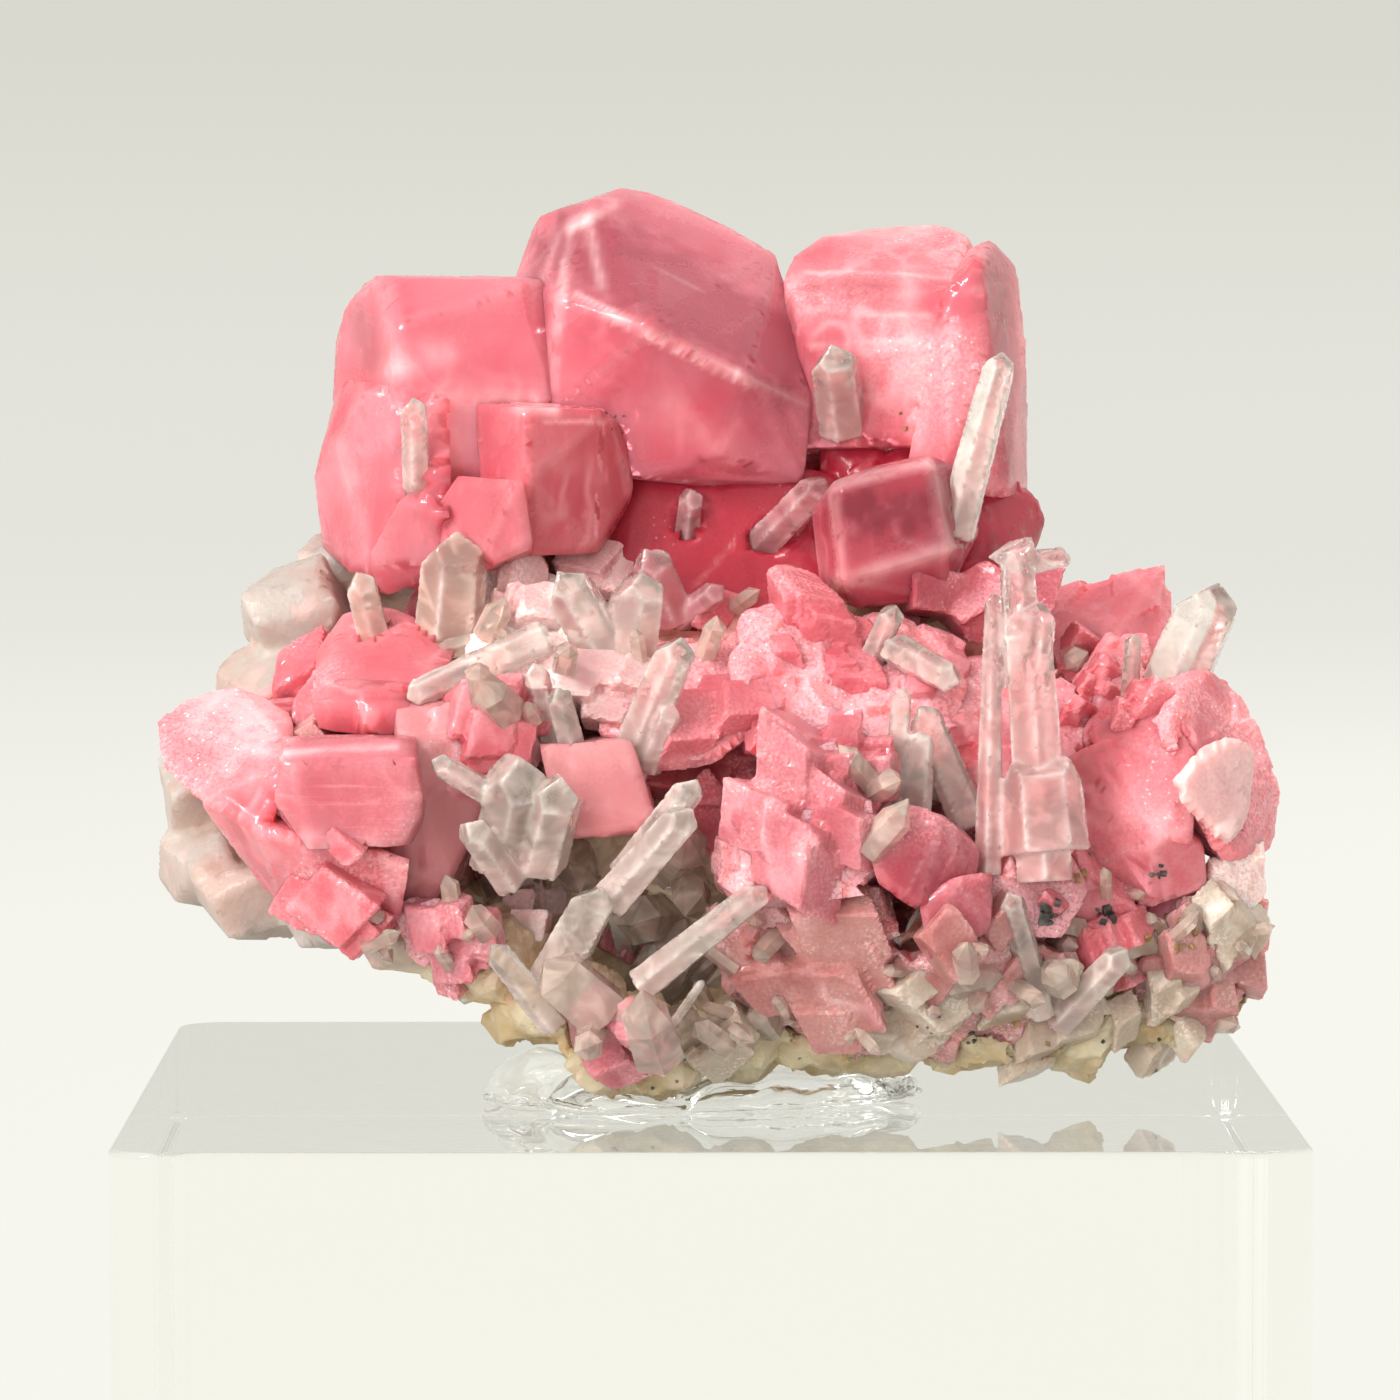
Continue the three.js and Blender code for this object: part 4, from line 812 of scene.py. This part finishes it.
# the first surface met from the front, or from the back, at x, z (millimetres, z from the block's top)
def seatSpot(x, z, back=False):
    start = Vector((x * mm, cadHigh.y + 0.01 if back else cadLow.y - 0.01, blockTop + z * mm))
    best = None
    for name, tree in skins:
        place, normal, face, distance = tree.ray_cast(start, Vector((0, -1 if back else 1, 0)))
        if place is not None and (best is None or distance < best[3]):
            best = (name, place, normal, distance)
    return best


# a seat picked evenly from the round patch of this reach about x, z
def patchSpot(dice, x, z, reach, back=False):
    angle, away = dice.uniform(0, 2 * math.pi), reach * math.sqrt(dice.random())
    return seatSpot(x + away * math.cos(angle), z + away * math.sin(angle), back)


class Heap:
    # many small closed crystals in one mesh
    def __init__(self, seed):
        self.corners, self.faces, self.dice = [], [], random.Random(seed)

    def add(self, corners, faces):
        start = len(self.corners)
        self.corners += [tuple(corner) for corner in corners]
        self.faces += [tuple(start + k for k in face) for face in faces]

    # a small crystal: a rhombohedron with some corners cut off and the rest a little uneven
    def rhomb(self, centre, axes, trim=0.55):
        dice = self.dice
        points = []
        for signs in itertools.product((-1, 1), repeat=3):
            corner = sum((axis * (0.5 * sign) for axis, sign in zip(axes, signs)), Vector())
            if dice.random() < trim:
                cut = dice.uniform(0.15, 0.5)
                for axis, sign in zip(axes, signs):
                    points.append(corner - axis * (sign * cut * dice.uniform(0.5, 1)))
            else:
                points.append(corner * dice.uniform(0.93, 1.04))
        solid = bmesh.new()
        for point in points:
            solid.verts.new(centre + point)
        hull = bmesh.ops.convex_hull(solid, input=solid.verts)
        bmesh.ops.delete(solid, geom=list(set(hull["geom_interior"] + hull["geom_unused"])), context="VERTS")
        bmesh.ops.dissolve_limit(solid, angle_limit=0.06, verts=solid.verts, edges=solid.edges)
        solid.verts.index_update()
        self.add([vert.co.copy() for vert in solid.verts],
                 [[vert.index for vert in face.verts] for face in solid.faces])
        solid.free()

    # a six-sided quartz prism with a six-faced point
    def prism(self, foot, axis, length, radius):
        axis = axis.normalized()
        side = axis.orthogonal().normalized()
        cross = axis.cross(side)
        spin = self.dice.uniform(0, math.pi)
        tipRise = radius * self.dice.uniform(0.9, 1.5)
        ring = []
        for k in range(6):
            angle = spin + k * math.pi / 3
            ring.append(side * math.cos(angle) + cross * math.sin(angle))
        lean = (side * self.dice.uniform(-0.35, 0.35) + cross * self.dice.uniform(-0.35, 0.35)) * radius
        corners = [foot + r * radius for r in ring]
        for r in ring:
            shoulder = length - tipRise * self.dice.uniform(0.8, 1.15)
            corners.append(foot + axis * shoulder + r * radius * 0.94)
        corners.append(foot + axis * length + lean)
        faces = [(k, (k + 1) % 6, 6 + (k + 1) % 6, 6 + k) for k in range(6)]
        faces += [(6 + k, 6 + (k + 1) % 6, 12) for k in range(6)] + [(5, 4, 3, 2, 1, 0)]
        self.add(corners, faces)

    # many separate crystals as one piece
    def finish(self, name, material, slot, bevel=0.0, attributes=()):
        mesh = bpy.data.meshes.new(name)
        mesh.from_pydata(self.corners, [], self.faces)
        if bevel:
            solid = bmesh.new()
            solid.from_mesh(mesh)
            bmesh.ops.recalc_face_normals(solid, faces=solid.faces)
            bmesh.ops.bevel(solid, geom=solid.edges, offset=bevel * mm, segments=1, affect="EDGES")
            solid.to_mesh(mesh)
            solid.free()
        for key, value in attributes:
            carry(mesh, key, [value] * len(mesh.vertices))
        print(name, len(self.faces), "faces")
        addPiece(name, mesh, material, slot)

    # one grown-together mass instead of many separate crystals
    def merge(self, name, material, slot, voxel, seed):
        rough = bpy.data.meshes.new(name + "_rough")
        rough.from_pydata(self.corners, [], self.faces)
        nearest = BVHTree.FromPolygons([vert.co for vert in rough.vertices], self.faces)
        mesh = evenGrid(rough, voxel)
        dropBubbles(mesh)
        points = pointsOf(mesh)
        outward = np.array([vert.normal for vert in mesh.vertices])
        ridge = ridges(mesh, points, outward) / voxel
        faceOf = np.zeros(len(points), np.int64)
        for k, point in enumerate(points):
            place, normal, faceOf[k], distance = nearest.find_nearest(point * mm)
            if distance < 0.6 * voxel * mm:
                points[k] = np.array(place) / mm
        points += outward * (0.012 * clouds(points, 0.35, seed, 2))[:, None]
        setPoints(mesh, points)
        # painted highlight: convex ridges paled
        carry(mesh, "edge", np.clip(ridge * 5 - 0.3, 0, 1))
        carry(mesh, "tone", numbered(np.stack([faceOf, faceOf // 7, faceOf // 3], axis=1), seed))
        carry(mesh, "frost", np.clip(0.45 + 0.6 * clouds(points, 1.1, seed + 3, 2), 0, 1))
        # painted shade: creases between the merged crystals darkened
        carry(mesh, "dark", np.clip(-ridge * 2.5 - 0.15, 0, 0.5))
        carry(mesh, "pale", np.zeros(len(points)))
        mesh.polygons.foreach_set("use_smooth", [False] * len(mesh.polygons))
        print(name, len(mesh.polygons), "faces")
        skins.append((name, BVHTree.FromPolygons([vert.co for vert in mesh.vertices],
                                                 [tuple(face.vertices) for face in mesh.polygons])))
        addPiece(name, mesh, material, slot)


# the rows of two lists, each with a last value that says whether it is at the back
def bothSides(front, rear):
    return [(*row, False) for row in front] + [(*row, True) for row in rear]


def randomWay(dice):
    while True:
        way = Vector([dice.uniform(-1, 1) for _ in range(3)])
        if 0.1 < way.length < 1:
            return way.normalized()


# the pink ground between the big crystals: rhombs that share their lean with their neighbours
ground = {"spacing": 0.85, "size": (0.9, 2.1)}

# knots of small crystals: x, z, reach, how many, sizes, finish
knots = [
    (3.1, 10.9, 2.1, 16, (1.2, 2.4), "purplePink"), (5.1, 12.6, 1.2, 7, (1.0, 1.8), "purplePink"),
    (-4.4, 16.0, 2.6, 18, (1.0, 2.2), "coatedPink"), (-6.6, 17.7, 1.0, 6, (0.9, 1.6), "coatedPink"),
    (-0.3, 14.3, 1.6, 8, (1.3, 2.3), "frostedPink"), (4.1, 16.2, 1.6, 9, (1.0, 2.0), "frostedPink"),
    (6.6, 15.6, 1.4, 7, (1.0, 1.9), "frostedPink"), (-7.1, 13.3, 1.2, 6, (1.4, 2.4), "candyPink"),
    (3.1, 5.3, 2.0, 8, (1.6, 2.8), "palePink"), (9.2, 5.2, 1.8, 7, (1.3, 2.2), "palePink"),
    (6.8, 3.6, 1.5, 8, (0.9, 1.8), "veinBeige"), (11.6, 3.6, 2.0, 12, (0.9, 1.9), "veinBeige"),
    (15.6, 3.2, 1.6, 9, (0.8, 1.6), "veinBeige"), (14.2, 6.4, 1.3, 7, (0.8, 1.5), "veinBeige"),
    (0.2, 3.2, 1.8, 10, (0.8, 1.8), "veinBeige"), (18.3, 6.6, 1.2, 6, (0.8, 1.5), "veinBeige"),
    (17.1, 4.8, 1.8, 8, (1.0, 2.0), "palePink"), (-6.6, 7.5, 1.2, 6, (0.9, 1.5), "coatedPink"),
    (-2.7, 5.4, 0.7, 3, (0.9, 1.4), "purplePink"), (-8.8, 5.9, 1.4, 8, (0.9, 1.7), "purplePink"),
    (-3.4, 2.8, 1.1, 5, (0.8, 1.5), "purplePink"), (13.7, 14.4, 1.6, 14, (0.7, 1.4), "candyPink"),
    (11.0, 7.6, 1.3, 6, (1.0, 1.7), "purplePink"), (-12.4, 8.0, 1.6, 6, (1.2, 2.2), "candyPink"),
]
backKnots = [
    (-8.5, 17.6, 2.4, 12, (1.3, 2.6), "frostedPink"), (-2.5, 17.0, 2.6, 14, (1.3, 2.8), "candyPink"),
    (3.5, 17.4, 2.4, 12, (1.2, 2.4), "frostedPink"), (8.5, 16.4, 2.0, 9, (1.2, 2.2), "purplePink"),
    (-13.5, 12.0, 2.2, 9, (1.2, 2.4), "palePink"), (14.5, 11.0, 2.2, 9, (1.2, 2.2), "candyPink"),
    (5.5, 8.5, 1.8, 7, (1.0, 1.8), "palePink"), (-6.5, 7.5, 1.6, 6, (1.0, 1.8), "purplePink"),
]
# crystals that close the gaps behind others: x, y, z, size, finish
fillers = [
    (-13.2, -5.6, 13.0, 2.6, "candyPink"), (-11.6, -5.4, 12.8, 2.4, "candyPink"),
    (-14.6, -5.2, 12.9, 2.2, "frostedPink"),
    (7.9, -4.0, 17.6, 2.0, "raspberry"), (9.3, -3.8, 17.4, 2.3, "raspberry"),
    (10.8, -3.8, 17.3, 2.1, "raspberry"),
]


def skewAxes(way, dice, size, turn=None, sway=0.35):
    spin = dice.uniform(0, 2 * math.pi) if turn is None else turn + dice.uniform(-sway, sway)
    frameOf = way.to_track_quat("Z", "Y").to_matrix() @ Matrix.Rotation(spin, 3, "Z")
    lean = math.radians(dice.uniform(42, 45))
    axes = []
    for k in range(3):
        angle = 2 * math.pi * k / 3
        axis = Vector((math.sin(lean) * math.cos(angle), math.sin(lean) * math.sin(angle), math.cos(lean)))
        axes.append(frameOf @ axis * size * dice.uniform(0.7, 1.25) * mm)
    return axes


def growGround():
    heaps = {kind: Heap(5) for kind in smallFinishes}
    dice = random.Random(11)
    for x, y, z, size, kind in fillers:
        centre = Vector((x * mm, y * mm, blockTop + z * mm))
        heaps[kind].rhomb(centre, skewAxes(randomWay(dice), dice, size), 0.3)
    for x, z, reach, count, sizes, kind, back in bothSides(knots, backKnots):
        leader, turn = randomWay(dice), dice.uniform(0, 2)
        for k in range(count):
            spot = patchSpot(dice, x, z, reach, back)
            if spot is None or spot[0].startswith("quartz_"):
                continue
            size = dice.uniform(*sizes)
            way = (leader + 0.16 * randomWay(dice)).normalized()
            middle = spot[1] - spot[2] * 0.15 * size * mm
            heaps[kind].rhomb(middle, skewAxes(way, dice, size, turn, 0.12), 0.3)
    step = ground["spacing"]
    for column in range(48):
        for row in range(20):
            x = -18.5 + column * step + dice.uniform(-0.4, 0.4)
            z = 3 + row * step + dice.uniform(-0.4, 0.4)
            if not insideOutline(x, z, pinkOutline):
                continue
            spot = seatSpot(x, z)
            if spot is None or spot[0] != "matrix_rock":
                continue
            size = dice.uniform(*ground["size"])
            leader = random.Random(int(x // 4) * 31 + int(z // 3.4))
            way = (randomWay(leader) + 0.15 * randomWay(dice)).normalized()
            axes = skewAxes(way, dice, size, leader.uniform(0, 2), 0.12)
            kind = leader.choice(("candyPink", "frostedPink", "candyPink"))
            centre = spot[1] + spot[2] * 0.05 * size * mm
            heaps[kind].rhomb(centre, axes)
    for kind, heap in heaps.items():
        heap.merge("ground_" + kind, smallFinishes[kind], "rhodochrosite", 1.1 * gridSize, 90)


growGround()

# druse: x, z and radius of a patch (millimetres from the block's top), how many crystals, their lengths
druse = [
    (-2.0, 5.6, 3.4, 22, (1.2, 3.0)), (-6.5, 8.2, 2.2, 14, (1.0, 2.2)), (1.2, 4.8, 2.4, 10, (0.8, 1.8)),
    (10.6, 4.8, 2.4, 9, (0.9, 2.2)), (15.6, 3.4, 2.4, 5, (0.7, 1.4)), (17.8, 6.0, 2.0, 5, (0.6, 1.3)),
    (6.5, 4.0, 2.0, 4, (0.7, 1.3)), (10.8, 8.8, 1.6, 6, (0.8, 1.8)), (6.4, 10.6, 1.8, 6, (0.9, 2.0)),
    (-12.0, 9.2, 1.2, 4, (0.8, 1.4)), (-9.6, 6.4, 2.2, 5, (0.7, 1.2)), (-5.6, 15.6, 2.6, 16, (0.8, 1.9)),
    (-8.6, 17.2, 2.0, 8, (0.8, 1.8)), (-0.6, 16.8, 2.4, 10, (0.8, 2.0)), (12.2, 15.4, 2.2, 8, (0.6, 1.3)),
    (-3.0, 10.4, 2.0, 10, (0.9, 2.2)), (14.0, 7.6, 2.0, 5, (0.7, 1.4)),
]
backDruse = [
    (0.0, 12.5, 5.0, 34, (0.7, 2.0)), (-9.0, 12.0, 3.5, 20, (0.7, 1.8)), (9.0, 12.0, 3.5, 20, (0.7, 1.8)),
    (0.0, 5.0, 4.5, 18, (0.6, 1.5)), (-9.0, 5.5, 3.0, 10, (0.6, 1.4)), (8.5, 5.5, 3.0, 10, (0.6, 1.4)),
]
roughSkins = ("matrix_rock", "ground_", "lower_", "coated_cluster", "frosted_cluster", "left_bottom_purple",
              "right_corner", "ridge_")


def growDruse():
    heap = Heap(21)
    dice = heap.dice
    for x, z, reach, count, lengths, back in bothSides(druse, backDruse):
        for k in range(count):
            spot = patchSpot(dice, x, z, reach, back)
            if spot is None or not spot[0].startswith(roughSkins):
                continue
            length = dice.uniform(*lengths) * mm
            radius = length * dice.uniform(0.2, 0.42)
            way = 0.75 * spot[2] + 0.75 * randomWay(dice) + Vector((0, 0.25 if back else -0.25, 0.35))
            heap.prism(spot[1] - way.normalized() * 0.2 * length, way, length * 1.2, radius)
    heap.finish("quartz_druse", quartzFinishes["druseQuartz"], "quartz", 0.0, (("foot", 0.2), ("edge", 0.0)))


growDruse()

# dark sulphide grains and brown iron-stained grains: x, z, radius, count, sizes
oreSpots = [
    (11.6, 7.2, 0.45, 9, (0.12, 0.38)), (13.6, 7.0, 0.35, 6, (0.1, 0.3)), (15.4, 8.3, 0.35, 5, (0.1, 0.26)),
    (12.4, 6.2, 0.3, 4, (0.15, 0.35)), (9.4, 2.6, 0.7, 5, (0.08, 0.2)), (-2.0, 1.2, 1.6, 5, (0.07, 0.14)),
    (7.6, 3.2, 0.5, 4, (0.08, 0.18)), (14.6, 1.8, 1.2, 4, (0.08, 0.16)), (-3.2, 23.6, 0.5, 4, (0.07, 0.12)),
]
rustSpots = [
    (-1.6, 7.4, 1.5, 14, (0.1, 0.28)), (15.8, 6.4, 1.0, 10, (0.1, 0.3)), (12.8, 8.8, 0.7, 7, (0.1, 0.3)),
    (12.0, 3.2, 1.6, 7, (0.1, 0.25)), (-6.6, 8.0, 1.0, 6, (0.1, 0.22)), (6.2, 23.4, 1.0, 3, (0.1, 0.18)),
]


def grainFinish(name, dark, light, metal, roughness):
    paint = Finish(name)
    cloud = paint.clouds(0.3, 3.0)
    return paint.close(paint.add("ShaderNodeBsdfPrincipled", {}, {
        "Base Color": cloud.between(0.35, 0.7).blend(dark, light), "Roughness": roughness + cloud * 0.2,
        "Metallic": metal, "Normal": paint.bump(paint.clouds(0.1, 2.0), 0.3, 0.03 * mm)}))


def growGrains(name, spots, material, seed):
    heap = Heap(seed)
    dice = heap.dice
    for x, z, reach, count, sizes in spots:
        for k in range(count):
            spot = patchSpot(dice, x, z, reach)
            if spot is None or spot[0].startswith("quartz_"):
                continue
            heap.rhomb(spot[1], skewAxes(randomWay(dice), dice, dice.uniform(*sizes)))
    heap.finish(name, material, "matrix", 0.02)


sulphide = grainFinish("sulphide", (0.05, 0.043, 0.04), (0.17, 0.15, 0.13), 0.35, 0.3)
ironStain = grainFinish("ironStain", (0.22, 0.11, 0.035), (0.50, 0.30, 0.13), 0.0, 0.5)
growGrains("sulphide_grains", oreSpots, sulphide, 41)
growGrains("rusty_grains", rustSpots, ironStain, 43)
print("small crystals seated")


# display block and gel

def clearFinish(name, refraction, roughness, tint, smear):
    paint = Finish(name)
    marks = paint.clouds(6.0, 3.0, twist=1.0).between(0.5, 0.8) * smear
    return paint.close(paint.add("ShaderNodeBsdfPrincipled", {}, {
        "Base Color": tint, "Roughness": marks + roughness, "IOR": refraction, "Transmission Weight": 1.0}))


block = {"corner": 1.8, "edge": 0.22, "cornerSteps": 16, "edgeSteps": 4, "refraction": 1.49,
         "tint": (0.978, 0.978, 0.953), "smear": 0.03}
gel = {"grid": 0.28, "smoothing": 7, "refraction": 1.44, "roughness": 0.02, "tint": (0.99, 0.99, 0.98),
       "smear": 0.05}


# a square outline with round corners; short straight ends beside each corner keep the flat sides flat
def roundedOutline(half, corner, steps):
    points = []
    for quarter in range(4):
        cx = (half - corner) * (1, -1, -1, 1)[quarter]
        cy = (half - corner) * (1, 1, -1, -1)[quarter]
        for k in range(-1, steps + 2):
            angle = math.radians(90 * quarter + 90 * min(max(k, 0), steps) / steps)
            beyond = 0.05 * (max(k - steps, 0) - max(-k, 0))
            points.append((cx + corner * math.cos(angle) - beyond * math.sin(angle),
                           cy + corner * math.sin(angle) + beyond * math.cos(angle)))
    return points


def makeBlock():
    half = (blockHigh.x - blockLow.x) / 2 / mm
    edge, steps = block["edge"], block["edgeSteps"]
    arc = [(edge * (1 - math.sin(angle)), edge * (1 - math.cos(angle)))
           for angle in (math.radians(90 * k / steps) for k in range(steps + 1))] + [(0.0, edge + 0.05)]
    rings = [(inset, blockLow.z / mm + rise) for inset, rise in arc]
    rings += [(inset, blockHigh.z / mm - rise) for inset, rise in reversed(arc)]
    solid = bmesh.new()
    loops = []
    for inset, level in rings:
        outline = roundedOutline(half - inset, block["corner"] - inset, block["cornerSteps"])
        loops.append([solid.verts.new((x * mm, y * mm, level * mm)) for x, y in outline])
    for below, above in zip(loops, loops[1:]):
        for k in range(len(below)):
            after = (k + 1) % len(below)
            solid.faces.new((below[k], below[after], above[after], above[k]))
    solid.faces.new(list(reversed(loops[0])))
    solid.faces.new(loops[-1])
    mesh = bpy.data.meshes.new("block")
    solid.to_mesh(mesh)
    solid.free()
    mesh.polygons.foreach_set("use_smooth", [len(face.vertices) == 4 for face in mesh.polygons])
    acrylic = clearFinish("acrylic", block["refraction"], 0.0, block["tint"], block["smear"])
    addPiece("display_block", mesh, acrylic, "acrylic", "acrylic_block")


def makeGel():
    source = bmesh.new()
    source.from_mesh(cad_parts["gel"].data)
    bmesh.ops.remove_doubles(source, verts=source.verts, dist=2e-6)
    plain = bpy.data.meshes.new("gelPlain")
    source.to_mesh(plain)
    source.free()
    mesh = evenGrid(plain, gel["grid"])
    worker = bmesh.new()
    worker.from_mesh(mesh)
    for turn in range(gel["smoothing"]):
        bmesh.ops.smooth_vert(worker, verts=worker.verts, factor=0.5, use_axis_x=True, use_axis_y=True,
                              use_axis_z=True)
    worker.to_mesh(mesh)
    worker.free()
    points = pointsOf(mesh)
    floorLevel = blockTop / mm - 0.02
    points[:, 2] += 0.12 * clouds(points, 2.0, 3) * np.clip((points[:, 2] - floorLevel) / 0.4, 0, 1)
    points[:, 2] = np.maximum(points[:, 2] - 0.1, floorLevel)
    setPoints(mesh, points)
    mesh.polygons.foreach_set("use_smooth", [True] * len(mesh.polygons))
    clearGel = clearFinish("clearGel", gel["refraction"], gel["roughness"], gel["tint"], gel["smear"])
    addPiece("seat_gel", mesh, clearGel, "gel", "gel")


makeBlock()
makeGel()
print("block and gel made")
